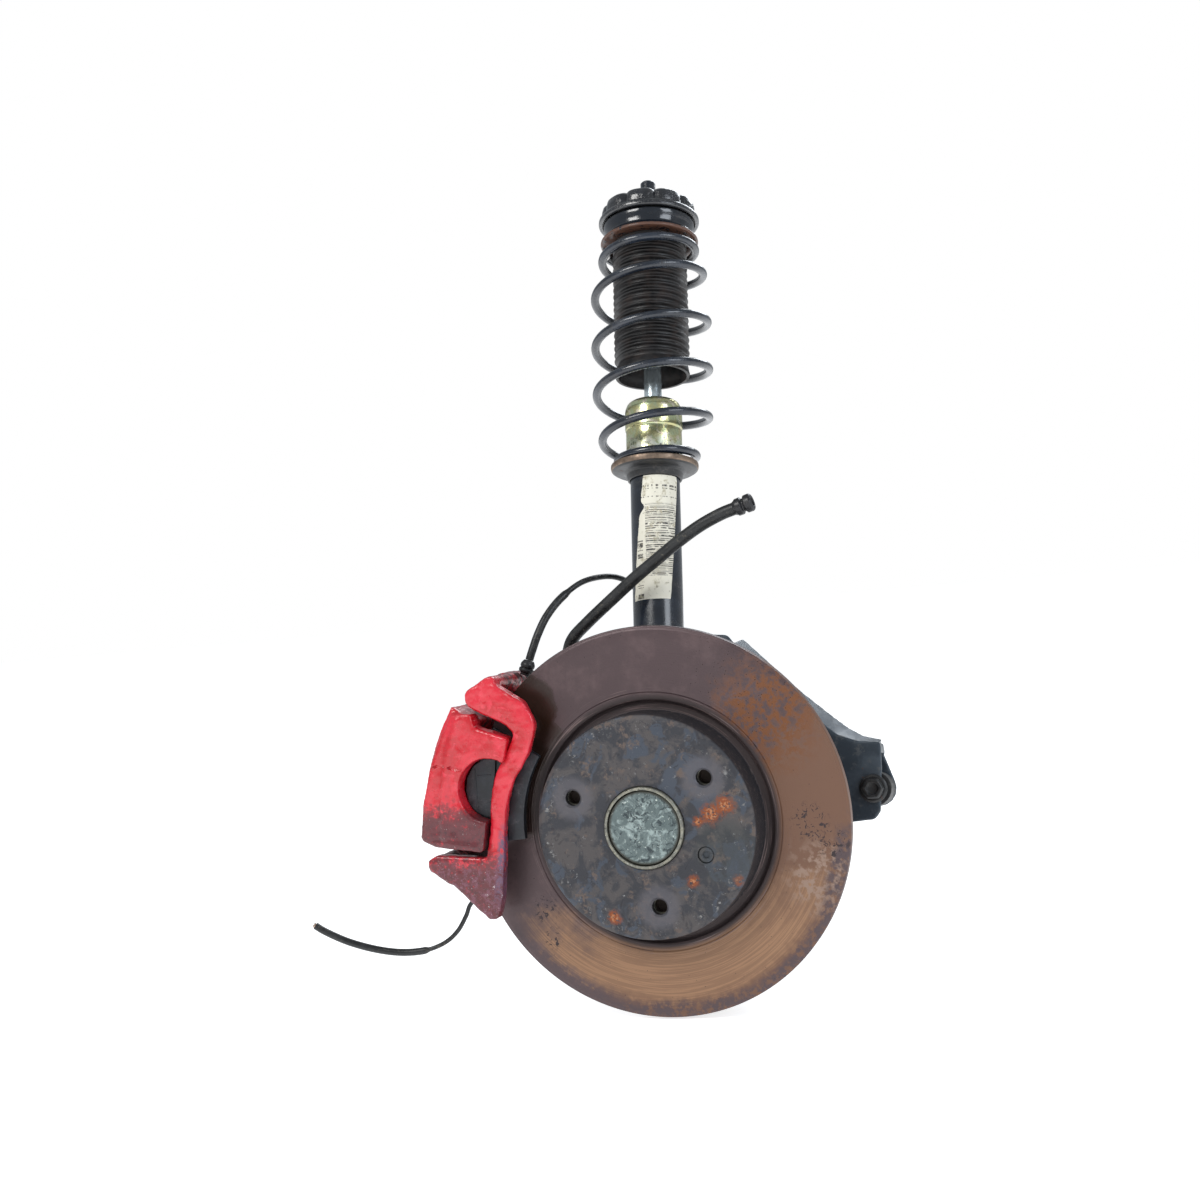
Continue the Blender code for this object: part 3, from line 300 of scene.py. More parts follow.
def cast_iron(name, rust=0.6):
    """Weathered casting: dark scale, brown rust and a sand-cast grain."""
    look = Look(name, (0.022, 0.019, 0.018), 0.75, 0.25)
    look.patch((13.0, 6.0, 0.65), 0.42, 0.62, (0.075, 0.034, 0.018), 0.85, 0.0)
    look.patch((5.0, 7.0, 0.7, 0.4), 0.55, 0.66, (0.2, 0.075, 0.025), 0.9, 0.0, share=rust)
    look.patch((20.0, 5.0), 0.62, 0.78, (0.05, 0.052, 0.056), 0.55, 0.3)
    look.relief(look.noise(1.1, 6.0, 0.7), 0.35)
    look.relief(look.cells(1.6), 0.12, 0.7)
    return look.done()


def chrome():
    look = Look("chrome_rod", (0.74, 0.84, 0.88), 0.2, 0.85)
    look.patch((6.0,), 0.5, 0.7, (0.56, 0.66, 0.72), 0.28)
    look.patch((3.0, 6.0), 0.62, 0.7, (0.12, 0.11, 0.1), 0.5, share=0.6)
    look.relief(look.noise(0.6, 2.0), 0.02, 0.4)
    return look.done()


def yellow_zinc():
    """Yellow chromate on zinc: gold, green and rose patches that run into each other."""
    look = Look("yellow_zinc", (0.56, 0.53, 0.27), 0.24, 0.85)
    height = look.up_strut()
    look.patch((9.0, 4.0, 0.6, 0.8), 0.44, 0.6, (0.52, 0.58, 0.36), 0.2)
    look.patch((12.0, 3.0, 0.5, 1.2), 0.55, 0.68, (0.72, 0.66, 0.52), 0.3)
    look.patch((7.0, 4.0, 0.6, 1.0), 0.6, 0.7, (0.5, 0.33, 0.3), 0.26, share=0.8)
    low = look.both(look.mask(height, 292.0, 276.0), look.mask(look.noise(4.0, 6.0, 0.7), 0.4, 0.55))
    look.tint(low, (0.62, 0.64, 0.6), 0.55, 0.3)
    grime = look.both(look.mask(look.noise(5.0, 7.0, 0.7), 0.56, 0.64), look.mask(height, 300.0, 278.0))
    look.tint(grime, (0.03, 0.028, 0.022), 0.7, 0.0)
    look.relief(look.noise(7.0, 2.0), 0.5, 0.7)
    look.relief(look.noise(0.7, 4.0), 0.03, 0.5)
    return look.done()


def radial(look):
    """Distance from the wheel's axis in millimetres, with the hub axes."""
    x, y, z = look.hub_axes()
    r = look.calc("SQRT", look.calc("ADD", look.calc("MULTIPLY", x, x), look.calc("MULTIPLY", z, z)))
    return r, x, y, z


def turned_lines(look, r, x, z, pitch=0.9):
    """Fine rings round the wheel's axis, broken up along their length."""
    _, at = look.add("CombineXYZ", X=look.calc("DIVIDE", r, pitch), Y=look.calc("DIVIDE", x, 45.0),
                        Z=look.calc("DIVIDE", z, 45.0))
    _, value = look.add("TexNoise", Scale=1.0, Detail=3.0, Roughness=0.6, Vector=at)
    return value


def disc_face():
    """The swept ring: brown-grey at the top, orange rust to the right and tan below."""
    look = Look("disc_swept_face", (0.082, 0.054, 0.057), 0.36, 0.35)
    r, x, _, z = radial(look)
    rings = turned_lines(look, r, x, z)
    cloud = look.noise(38.0, 6.0, 0.62)
    fine = look.noise(6.0, 7.0, 0.7)
    drift = look.calc("ADD", look.calc("MULTIPLY_ADD", cloud, 90.0, -45.0),
                      look.calc("MULTIPLY_ADD", fine, 30.0, -15.0))

    def slope(across, up):
        return look.calc("ADD", look.calc("ADD", look.calc("MULTIPLY", x, across),
                                          look.calc("MULTIPLY", z, up)), drift)

    look.patch((24.0, 4.0), 0.45, 0.7, (0.115, 0.076, 0.078), 0.36)
    brown = look.mask(slope(0.75, -0.55), 18.0, 62.0)
    look.tint(brown, (0.155, 0.078, 0.048), 0.5, 0.2)
    tan = look.mask(slope(0.15, -1.0), 42.0, 92.0)
    tan_band = look.both(tan, look.mask(look.calc("ADD", r,
                                                  look.calc("MULTIPLY_ADD", fine, 16.0,
                                                            -8.0)), 134.0, 122.0))
    look.tint(tan_band, (0.23, 0.125, 0.07), 0.55, 0.15)
    look.tint(look.both(tan_band, look.mask(rings, 0.45, 0.6)), (0.3, 0.165, 0.09), 0.5, 0.15)
    orange = look.both(look.spot((88.0, SWEPT_Y, 72.0), 34.0, 0.5, 1.0, 9.0), look.mask(fine, 0.4, 0.56))
    look.tint(orange, (0.16, 0.055, 0.016), 0.72, 0.0)
    pale = look.both(look.spot((118.0, SWEPT_Y, -42.0), 22.0, 0.5, 1.2, 11.0),
                     look.mask(look.noise(5.0, 6.0), 0.45, 0.58))
    look.tint(pale, (0.27, 0.18, 0.135), 0.6, 0.1)
    edge = look.both(look.mask(look.calc("ADD", r,
                                         look.calc("MULTIPLY_ADD", cloud, 30.0, -15.0)), 127.0, 135.0),
                     look.mask(slope(0.25, -1.0), 28.0, 60.0))
    look.tint(look.both(edge, look.mask(fine, 0.38, 0.56)), (0.085, 0.058, 0.062), 0.6, 0.2)
    ragged = look.mask(look.noise(3.6, 5.0, 0.66, 0.8), 0.55, 0.59)
    for point, size in (((-88.0, SWEPT_Y, -60.0), 10.0), ((-84.0, SWEPT_Y, -82.0), 8.0),
                        ((112.0, SWEPT_Y, -4.0), 13.0),
                        ((127.0, SWEPT_Y, -20.0), 11.0)):
        look.tint(look.both(look.spot(point, size, 0.3, 0.6, 5.0), ragged), (0.028, 0.018, 0.02), 0.3, 0.3)
    # Dark glossy patches along the bracket bar's inner edge on the swept face.
    bar_edge_dark_top = look.spot((-88.0, SWEPT_Y, 88.0), 22.0, 0.12, 0.5, 16.0)
    bar_edge_dark_mid = look.spot((-82.0, SWEPT_Y, 60.0), 20.0, 0.15, 0.5, 16.0)
    bar_edge_dark_low = look.spot((-88.0, SWEPT_Y, 20.0), 30.0, 0.2, 0.4, 14.0)
    for patch, share in ((bar_edge_dark_top, 0.9), (bar_edge_dark_mid, 0.9), (bar_edge_dark_low, 0.75)):
        look.tint(look.calc("MULTIPLY", patch, share), (0.028, 0.014, 0.009), 0.14, 0.2)
    specks = look.both(look.mask(look.cells(2.6), 0.16, 0.1),
                       look.spot((80.0, SWEPT_Y, 95.0), 46.0, 0.5, 1.0, 12.0))
    look.tint(specks, (0.03, 0.018, 0.012), 0.15, 0.2)
    dots = look.both(look.mask(look.cells(4.2), 0.1, 0.06), look.mask(look.noise(20.0), 0.4, 0.6))
    look.tint(look.calc("MULTIPLY", dots, 0.8), (0.022, 0.015, 0.014), 0.25)
    look.tint(look.mask(r, 93.0, 88.5), (0.05, 0.036, 0.036), 0.6, 0.3)
    look.tint(look.both(look.mask(rings, 0.56, 0.68), look.mask(r, 100.0, 92.0)),
              (0.17, 0.12, 0.115), 0.35, 0.5)
    look.relief(rings, 0.1, 0.8)
    look.relief(look.noise(1.1, 6.0, 0.7), 0.12, 0.7)
    look.relief(look.mask(look.cells(2.6), 0.3, 0.05), 0.12, 0.35)
    return look.done()


def hat_face():
    """The disc's hat: blue-grey scale with pale corrosion flakes and orange rust patches."""
    look = Look("disc_hat_face", (0.042, 0.043, 0.05), 0.5, 0.45)
    r, _, y, _ = radial(look)
    cloud = look.noise(17.0, 6.0, 0.65, 0.5)
    fine = look.noise(3.2, 7.0, 0.72)
    look.tint(look.mask(cloud, 0.44, 0.56), (0.078, 0.07, 0.07), 0.58, 0.3)
    look.patch((23.0, 5.0, 0.6, 0.8), 0.54, 0.6, (0.056, 0.066, 0.086), 0.46, 0.4)
    look.patch((10.0, 6.0, 0.7), 0.56, 0.66, (0.115, 0.085, 0.072), 0.7, 0.1)
    spokes = look.mask(look.noise(9.0, 5.0, 0.6, 2.2), 0.6, 0.63)
    look.tint(look.calc("MULTIPLY", spokes, 0.5), (0.03, 0.028, 0.032), 0.7)
    for across, up in lug_points():
        seat = look.spot((across, HAT_Y, up), 15.0, 0.25, 0.35, 5.0)
        look.tint(look.calc("MULTIPLY", seat, 0.7), (0.11, 0.105, 0.118), 0.45, 0.5)
    band = look.both(look.mask(r, 66.5, 70.0), look.mask(r, 76.5, 73.0))
    flakes = look.both(band, look.mask(fine, 0.55, 0.63), look.mask(look.noise(14.0, 3.0), 0.42, 0.58))
    look.tint(flakes, (0.27, 0.265, 0.26), 0.75, 0.0)
    loose = look.both(look.mask(fine, 0.6, 0.68), look.mask(look.noise(12.0, 4.0), 0.5, 0.62))
    look.tint(loose, (0.25, 0.25, 0.25), 0.75, 0.0)
    for point, size in (((49.0, HAT_Y, 8.0), 7.0), ((59.0, HAT_Y, 14.0), 6.0), ((32.0, HAT_Y, -38.0), 4.0),
                        ((64.0, HAT_Y, -38.0), 3.4), ((-27.0, HAT_Y, -62.0), 4.4),
                        ((39.0, HAT_Y, 3.0), 3.4)):
        patch = look.both(look.spot(point, size, 0.5, 1.5, 3.5), look.mask(look.noise(2.4, 7.0), 0.4, 0.5))
        look.tint(patch, (0.23, 0.058, 0.018), 0.85, 0.0)
        core = look.both(look.spot(point, size * 0.6, 0.4, 1.6, 2.2),
                         look.mask(look.noise(1.8, 5.0), 0.48, 0.56))
        look.tint(core, (0.4, 0.17, 0.075), 0.85, 0.0)
    patch = look.both(look.spot((57.0, HAT_Y, -19.0), 22.0, 0.2, 0.5, 9.0), look.mask(cloud, 0.3, 0.5))
    look.tint(look.calc("MULTIPLY", patch, 0.55), (0.05, 0.055, 0.055), 0.6)
    look.tint(look.mask(y, -29.0, -27.0), (0.028, 0.026, 0.03), 0.55, 0.3)
    wall = look.both(look.mask(y, -28.5, -27.0), look.mask(fine, 0.55, 0.62))
    look.tint(wall, (0.1, 0.08, 0.075), 0.6, 0.3)
    holes = look.both(look.mask(r, 61.6, 61.0), look.mask(r, 50.0, 51.0), look.mask(y, -29.4, -28.6))
    look.tint(holes, (0.035, 0.033, 0.035), 0.5, 0.4)
    look.relief(look.noise(9.0, 5.0, 0.6), 0.5)
    look.relief(fine, 0.28)
    look.relief(flakes, 0.2)
    return look.done()


def galvanised():
    look = Look("galvanised_cap", (0.13, 0.165, 0.165), 0.4, 0.7)
    swirl = look.noise(8.5, 6.0, 0.62, 1.4)
    look.tint(look.mask(swirl, 0.46, 0.66), (0.33, 0.4, 0.39), 0.36)
    look.patch((6.0, 6.0, 0.7, 1.0), 0.52, 0.62, (0.055, 0.07, 0.075), 0.5)
    look.patch((2.6, 6.0, 0.7), 0.6, 0.66, (0.6, 0.66, 0.62), 0.5)
    look.tint(look.mask(radial(look)[0], 23.0, 25.6), (0.045, 0.045, 0.035), 0.7, 0.3)
    look.relief(swirl, 1.1)
    look.relief(look.noise(1.0, 4.0), 0.1)
    return look.done()


def spigot_metal():
    look = Look("hub_spigot", (0.2, 0.2, 0.175), 0.45, 0.8)
    y = radial(look)[2]
    look.patch((4.0, 5.0), 0.42, 0.6, (0.3, 0.29, 0.235), 0.4)
    look.patch((2.4, 6.0, 0.7), 0.56, 0.64, (0.05, 0.045, 0.035), 0.7, 0.2)
    look.patch((3.4, 6.0, 0.7), 0.62, 0.68, (0.5, 0.5, 0.45), 0.6, 0.2)
    look.tint(look.mask(y, -24.0, -20.0), (0.05, 0.036, 0.028), 0.8, 0.1)
    look.relief(look.noise(1.4, 5.0), 0.15)
    return look.done()


def red_paint(name, lower, scuffed=False):
    """Brush-painted red with painted pink glare, grime lower down, drips and pale chips."""
    look = Look(name, (0.64, 0.016, 0.034), 0.3, 0.0, Coat_Weight=0.5, Coat_Roughness=0.1)
    x, y, z = look.hub_axes()
    look.patch((19.0, 4.0), 0.4, 0.62, (0.5, 0.006, 0.014), 0.24)
    # Lighter, pinker patches: painted glare on the red paint.
    look.patch((8.0, 4.0, 0.6, 0.5), 0.56, 0.7, (0.72, 0.04, 0.066), 0.4)
    high, low = lower
    wobble = look.calc("MULTIPLY_ADD", look.noise(15.0, 6.0, 0.65), 36.0, -18.0)
    depth = look.mask(look.calc("ADD", z, wobble), high, low)
    grit = look.mask(look.noise(2.0, 7.0, 0.75), 0.36, 0.55)
    dirt = look.both(depth, look.mask(look.calc("ADD", look.noise(4.0, 6.0, 0.7),
                                                look.calc("MULTIPLY", depth, 0.3)), 0.55, 0.75))
    look.tint(dirt, (0.045, 0.006, 0.01), 0.5)
    look.tint(look.both(dirt, grit), (0.11, 0.008, 0.014), 0.4)
    pits = look.both(look.mask(look.noise(1.5, 4.0, 0.7), 0.66, 0.7), look.mask(depth, 0.1, 0.6))
    look.tint(pits, (0.5, 0.42, 0.42), 0.6)
    if scuffed:
        side = look.both(look.mask(look.calc("ADD", look.calc("MULTIPLY", z, -0.17), x), -110.5, -106.5),
                         look.mask(z, 14.0, -8.0),
                         look.mask(z, -58.0, -40.0))
        streak = look.mask(look.noise(5.0, 6.0, 0.7, 0.4), 0.4, 0.55)
        look.tint(look.both(side, streak), (0.12, 0.06, 0.115), 0.5)
        tip = look.both(look.mask(z, -16.0, -30.0), look.mask(look.noise(5.0, 7.0, 0.72), 0.5, 0.58))
        look.tint(tip, (0.16, 0.045, 0.07), 0.6)
        chips = look.both(look.mask(z, -10.0, -40.0), look.mask(look.noise(2.6, 7.0, 0.75), 0.61, 0.65))
        look.tint(chips, (0.55, 0.48, 0.5), 0.65)
    chips = look.mask(look.noise(3.0, 6.0, 0.7), 0.7, 0.72)
    look.tint(chips, (0.05, 0.02, 0.02), 0.6)
    behind = look.mask(y, -20.0, -12.0)
    look.tint(look.both(behind, look.mask(look.noise(8.0, 6.0, 0.7), 0.36, 0.6)), (0.06, 0.012, 0.012), 0.7)
    drops = look.mask(look.cells(4.6, random=1.0), 0.2, 0.12)
    look.relief(look.both(drops, look.mask(look.noise(16.0), 0.5, 0.6)), 0.35, 0.8)
    look.relief(look.noise(3.6, 4.0), 0.5, 0.8)
    look.relief(look.noise(0.9, 5.0, 0.7), 0.09, 0.8)
    return look.done()


def label_print():
    """A worn cream label whose print is only plain bars."""
    look = Look("tube_label", (0.74, 0.71, 0.6), 0.5)
    node, _ = look.add("SeparateXYZ", Vector=look.place)
    across = look.calc("MULTIPLY", node.outputs[0], 1000.0)
    height = look.up_strut()

    def bars(value, pitch, share, seed):
        _, cell = look.add("TexNoise", Scale=1.0, Detail=0.0,
                              Vector=look.add("CombineXYZ", X=look.calc("DIVIDE", value, pitch), Y=seed)[1])
        return look.mask(cell, share, share - 0.02)

    code = look.both(bars(height, 0.8, 0.5, 3.1), look.mask(across, -3.2, -3.0),
                     look.mask(height, 234.0, 233.6),
                     look.mask(height, 176.0, 176.4))
    side = look.both(bars(height, 1.3, 0.46, 9.7), look.mask(across, -5.4, -5.6),
                     look.mask(across, -10.6, -10.4),
                     look.mask(height, 205.0, 204.6))
    head = look.both(bars(across, 1.0, 0.47, 5.5), look.mask(height, 238.4, 238.8),
                     look.mask(height, 250.0, 249.6),
                     bars(height, 2.0, 0.52, 1.3))
    worn = look.mask(look.noise(4.0, 6.0, 0.7), 0.62, 0.5)
    for part in (code, side, head):
        look.tint(look.both(part, worn), (0.055, 0.05, 0.045), 0.5)
    look.patch((6.0, 6.0, 0.7), 0.52, 0.66, (0.42, 0.38, 0.27), 0.6)
    look.patch((3.0, 7.0, 0.75), 0.63, 0.67, (0.05, 0.05, 0.05), 0.6)
    look.relief(look.noise(5.0, 4.0), 0.12)
    return look.done()


def pad_black():
    look = Look("pad_backing", (0.0085, 0.011, 0.015), 0.36, 0.0)
    look.patch((9.0, 5.0), 0.45, 0.65, (0.02, 0.025, 0.032), 0.5)
    dusty(look, 0.5, (0.16, 0.16, 0.17), 10.0)
    look.patch((2.2, 5.0, 0.7), 0.7, 0.73, (0.4, 0.4, 0.42), 0.6)
    look.relief(look.noise(1.0, 4.0), 0.08)
    return look.done()


def friction():
    look = Look("pad_friction", (0.03, 0.026, 0.024), 0.9, 0.1)
    look.tint(look.mask(look.cells(1.1), 0.3, 0.2), (0.12, 0.1, 0.08), 0.7, 0.5)
    look.patch((6.0,), 0.5, 0.7, (0.06, 0.032, 0.02), 0.95)
    look.relief(look.noise(0.8, 5.0, 0.7), 0.15)
    return look.done()


def pressed_steel():
    """The lower arm's black dip coat, tinted blue as painted sky reflection, with scratches and thin rust.
    """
    # The blue in this base colour and the lighter blue patches below are painted sky reflection on a dark
    # coat.
    look = Look("arm_dip_coat", (0.03, 0.042, 0.056), 0.36, 0.25)
    look.patch((20.0, 5.0), 0.42, 0.64, (0.05, 0.066, 0.084), 0.46)
    look.patch((7.0, 6.0, 0.7), 0.55, 0.68, (0.09, 0.095, 0.098), 0.6, share=0.7)
    _, at = look.add("Mapping", Vector=look.place, Scale=(1.0, 1.0, 0.12))
    marks = look.mask(look.noise(2.0, 5.0, 0.7, 0.0, at), 0.66, 0.7)
    look.tint(look.calc("MULTIPLY", marks, 0.6), (0.006, 0.006, 0.008), 0.3)
    look.patch((6.0, 7.0, 0.72), 0.66, 0.7, (0.1, 0.045, 0.025), 0.8, 0.0)
    look.relief(look.noise(6.0, 3.0), 0.2)
    look.relief(look.noise(0.8, 4.0), 0.05)
    return look.done()


def hose_rubber(name="hose_rubber", colour=(0.0075, 0.008, 0.0085), rough=0.4):
    look = Look(name, colour, rough)
    look.patch((12.0, 5.0), 0.44, 0.66, tuple(c * 2.4 for c in colour), rough + 0.16)
    look.patch((3.0, 7.0, 0.75), 0.56, 0.66, (0.13, 0.115, 0.085), 0.75, share=0.6)
    look.relief(look.noise(1.2, 4.0), 0.12)
    return look.done()


def copper_end():
    look = Look("bare_strands", (0.55, 0.53, 0.5), 0.3, 1.0)
    look.patch((1.2, 4.0), 0.45, 0.6, (0.35, 0.2, 0.12), 0.45)
    look.relief(look.noise(0.5, 3.0), 0.08)
    return look.done()


BLACK = black_paint("black_gloss_paint")
SPRING_BLACK = black_paint("spring_coating", (0.0065, 0.0098, 0.0165), 0.2, 0.3, 0.28, 0.05, 0.5)
CROWN_BLACK = black_paint("crown_gloss", (0.005, 0.006, 0.0085), 0.12, 0.7, 0.25, 0.0, 0.8)
TUBE_BLACK = black_paint("tube_gloss", (0.0055, 0.0085, 0.0145), 0.2, 0.1, 0.3, 0.04, 0.5)
SEAT_SHELL = seat_shell()
SEAT_BLACK = black_paint("seat_coating", (0.008, 0.0085, 0.0095), 0.38, 0.2, 0.5, 0.35, 0.1)
RUBBER = rubber("black_rubber")
BOOT_RUBBER = rubber("boot_rubber", (0.0035, 0.0032, 0.0036), 0.34, 0.15, 0.04, 0.5)
PLASTIC = rubber("black_plastic", (0.009, 0.009, 0.0105), 0.36, 0.5, 0.04)
HOSE = hose_rubber()
LEAD = hose_rubber("lead_sheath", (0.0068, 0.0075, 0.0082), 0.34)
CHROME = chrome()
YELLOW = yellow_zinc()
PLATED = plated("plated_steel")
RIM_STEEL = plated("seat_rim_steel", (0.27, 0.2, 0.15), 0.42, 0.35, 0.2)
GRIMY = plated("grimy_steel", (0.2, 0.19, 0.18), 0.45, 0.9, 0.8)
IRON = cast_iron("cast_iron")
DISC_FACE = disc_face()
HAT_FACE = hat_face()
GALVANISED = galvanised()
SPIGOT = spigot_metal()
RED_BODY = red_paint("red_caliper_paint", (34.0, 4.0))
RED_BAR = red_paint("red_bracket_paint", (2.0, -34.0), True)
LABEL = label_print()
PAD_BACK = pad_black()
LINING = friction()
ARM_STEEL = pressed_steel()
STRANDS = copper_end()


# ---- mesh builders --------------------------------------------------------------------------
def make(name, vertices, faces, matrix, look, sharp=35.0):
    mesh = bpy.data.meshes.new(name)
    mesh.from_pydata([matrix @ Vector(v) for v in vertices], [], faces)
    work = bmesh.new()
    work.from_mesh(mesh)
    bmesh.ops.remove_doubles(work, verts=work.verts, dist=1e-7)
    bmesh.ops.recalc_face_normals(work, faces=work.faces)
    work.to_mesh(mesh)
    work.free()
    mesh.shade_smooth()
    mesh.set_sharp_from_angle(angle=math.radians(sharp))
    if look:
        mesh.materials.append(look)
    obj = bpy.data.objects.new(name, mesh)
    bpy.context.scene.collection.objects.link(obj)
    return obj


def settle(obj, body, slot, *nodes):
    """The piece rides on a body and stands for some CAD nodes; slot is not used."""
    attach(obj, body)
    if nodes:
        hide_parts(*nodes)
    return obj


def fillet(profile, size, steps=3):
    """A closed outline with every corner rounded to about size, or less where its sides are short."""
    outline = []
    count = len(profile)
    for k, point in enumerate(profile):
        here = Vector(point)
        before, after = Vector(profile[k - 1]) - here, Vector(profile[(k + 1) % count]) - here
        on_axis = here.x == 0.0
        straight = before.length < 1e-6 or after.length < 1e-6 or abs(before.angle(after) - math.pi) < 0.12
        if on_axis or straight:
            outline.append((here.x, here.y))
            continue
        reach = min(size, 0.42 * before.length, 0.42 * after.length)
        first, last = here + before.normalized() * reach, here + after.normalized() * reach
        for step in range(steps + 1):
            t = step / steps
            p = first.lerp(here, t).lerp(here.lerp(last, t), t)
            outline.append((p.x, p.y))
    return outline


def lathe(name, profile, matrix, look, sides=72, wave=None, sharp=35.0, base=None):
    """A turned body from a closed outline of (radius, height) about the frame's Z."""
    place = matrix @ base if base else matrix
    vertices, rings = [], []
    for radius, height in profile:
        if radius == 0.0:
            rings.append([len(vertices)])
            vertices.append((0.0, 0.0, height))
            continue
        ring = []
        for k in range(sides):
            angle = math.tau * k / sides
            r, h = wave(angle, radius, height) if wave else (radius, height)
            ring.append(len(vertices))
            vertices.append((r * math.cos(angle), r * math.sin(angle), h))
        rings.append(ring)
    faces = []
    for here, after in zip(rings, rings[1:] + rings[:1]):
        if len(here) == 1 and len(after) == 1:
            continue
        for k in range(sides):
            j = (k + 1) % sides
            corners = [here[k % len(here)], here[j % len(here)], after[j % len(after)],
                       after[k % len(after)]]
            faces.append(list(dict.fromkeys(corners)))
    return make(name, vertices, faces, place, look, sharp)


def smooth_route(points, spacing):
    """Evenly spaced points on a smooth curve through the given ones."""
    points = [Vector(p) for p in points]
    padded = [2 * points[0] - points[1], *points, 2 * points[-1] - points[-2]]
    fine = []
    for a, b, c, d in zip(padded, padded[1:], padded[2:], padded[3:]):
        for step in range(16):
            t = step / 16
            fine.append(0.5 * (2 * b + (c - a) * t + (2 * a - 5 * b + 4 * c - d) * t**2
                               + (3 * b - a - 3 * c + d) * t**3))
    fine.append(points[-1])
    lengths = [0.0]
    for a, b in zip(fine, fine[1:]):
        lengths.append(lengths[-1] + (b - a).length)
    count = max(2, round(lengths[-1] / spacing))
    even, k = [], 0
    for step in range(count + 1):
        want = lengths[-1] * step / count
        while k < len(fine) - 2 and lengths[k + 1] < want:
            k += 1
        share = (want - lengths[k]) / (lengths[k + 1] - lengths[k])
        even.append(fine[k].lerp(fine[k + 1], min(1.0, share)))
    return even, lengths[-1]


def tube(name, centres, radius, matrix, look, sides=16):
    """A round tube with closed ends; radius is a number or a function of the distance along it."""
    vertices, faces = [], []
    side = None
    travelled = 0.0
    for k, centre in enumerate(centres):
        run = (centres[min(k + 1, len(centres) - 1)] - centres[max(k - 1, 0)]).normalized()
        if side is None:
            side = run.orthogonal().normalized()
        side = (side - run * side.dot(run)).normalized()
        other = run.cross(side)
        if k:
            travelled += (centre - centres[k - 1]).length
        r = radius(travelled) if callable(radius) else radius
        for j in range(sides):
            a = math.tau * j / sides
            vertices.append(centre + side * (r * math.cos(a)) + other * (r * math.sin(a)))
    for k in range(len(centres) - 1):
        for j in range(sides):
            i = (j + 1) % sides
            faces.append([k * sides + j, k * sides + i, (k + 1) * sides + i, (k + 1) * sides + j])
    last = (len(centres) - 1) * sides
    faces += [list(range(sides)), [last + j for j in range(sides)]]
    return make(name, vertices, faces, matrix, look, 50.0)


def circle(x, y, radius, steps=24):
    return [(x + radius * math.cos(math.tau * k / steps), y + radius * math.sin(math.tau * k / steps))
            for k in range(steps)]


def prism(name, outline, low, high, matrix, look, bevel=0.0):
    count = len(outline)
    vertices = [(x, y, z) for z in (low, high) for x, y in outline]
    faces = [list(range(count)), list(range(count, 2 * count))]
    faces += [[k, (k + 1) % count, count + (k + 1) % count, count + k] for k in range(count)]
    obj = make(name, vertices, faces, matrix, look)
    if bevel:
        round_edges(obj, bevel)
    return obj


def round_edges(obj, width, weld=False, segments=2):
    """Rounded edges by modifier; a CAD node's split vertices are joined first."""
    if weld:
        obj.modifiers.new("weld", "WELD").merge_threshold = 1e-5
    bevel = obj.modifiers.new("bevel", "BEVEL")
    bevel.width, bevel.segments, bevel.limit_method = width * MM, segments, "ANGLE"
    bevel.angle_limit = math.radians(34.0)
    bevel.use_clamp_overlap = True
    bevel.harden_normals = False
    return obj


def along(start, end):
    start, end = Vector(start), Vector(end)
    return Matrix.Translation(start) @ (end - start).to_track_quat("Z", "Y").to_matrix().to_4x4()


def cut(obj, *cutters):
    for cutter in cutters:
        step = obj.modifiers.new("cut", "BOOLEAN")
        step.operation, step.object, step.solver = "DIFFERENCE", cutter, "EXACT"
    apply_all(obj)
    for cutter in cutters:
        bpy.data.objects.remove(cutter, do_unlink=True)
    return obj


def relook(obj, angle, *looks):
    """Looks and shading again, after a cut has rebuilt the mesh."""
    obj.data.materials.clear()
    for look in looks:
        obj.data.materials.append(look)
    if angle:
        obj.data.shade_smooth()
        obj.data.set_sharp_from_angle(angle=math.radians(angle))


def apply_all(obj):
    """The evaluated mesh becomes the object's own."""
    graph = bpy.context.evaluated_depsgraph_get()
    graph.update()
    fresh = bpy.data.meshes.new_from_object(obj.evaluated_get(graph), depsgraph=graph)
    obj.modifiers.clear()
    obj.data = fresh
    return obj


def cast_from(node, name, look, voxel, rounds, *extra, rough=0.0, lump=4.0, cutters=()):
    """A casting's skin: the CAD node with extra lumps, remeshed as one body, softened and roughened."""
    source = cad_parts[node]
    work = bmesh.new()
    work.from_mesh(source.data)
    bmesh.ops.remove_doubles(work, verts=work.verts, dist=1e-6)
    for piece in extra:
        work.from_mesh(piece.data)
        bpy.data.objects.remove(piece, do_unlink=True)
    mesh = bpy.data.meshes.new(name)
    work.to_mesh(mesh)
    work.free()
    obj = bpy.data.objects.new(name, mesh)
    bpy.context.scene.collection.objects.link(obj)
    skin = obj.modifiers.new("skin", "REMESH")
    skin.mode, skin.voxel_size = "VOXEL", voxel * MM
    for cutter in cutters:
        step = obj.modifiers.new("cut", "BOOLEAN")
        step.operation, step.object, step.solver = "DIFFERENCE", cutter, "EXACT"
    soft = obj.modifiers.new("soften", "SMOOTH")
    soft.factor, soft.iterations = 0.5, rounds
    apply_all(obj)
    for cutter in cutters:
        bpy.data.objects.remove(cutter, do_unlink=True)
    if rough:
        normals = [vertex.normal.copy() for vertex in obj.data.vertices]
        for vertex, normal in zip(obj.data.vertices, normals):
            lift = noise.fractal(vertex.co / (lump * MM), 0.8, 2.0, 3)
            vertex.co += normal * (lift * rough * MM)
    obj.data.materials.clear()
    obj.data.materials.append(look)
    obj.data.shade_smooth()
    return obj


def dress(look, width, *nodes):
    """A carried-over CAD node gets rounded edges and a material."""
    for node in nodes:
        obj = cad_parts[node]
        round_edges(obj, width, True)
        for slot in obj.material_slots:
            slot.material = look
        if not obj.material_slots:
            obj.data.materials.append(look)


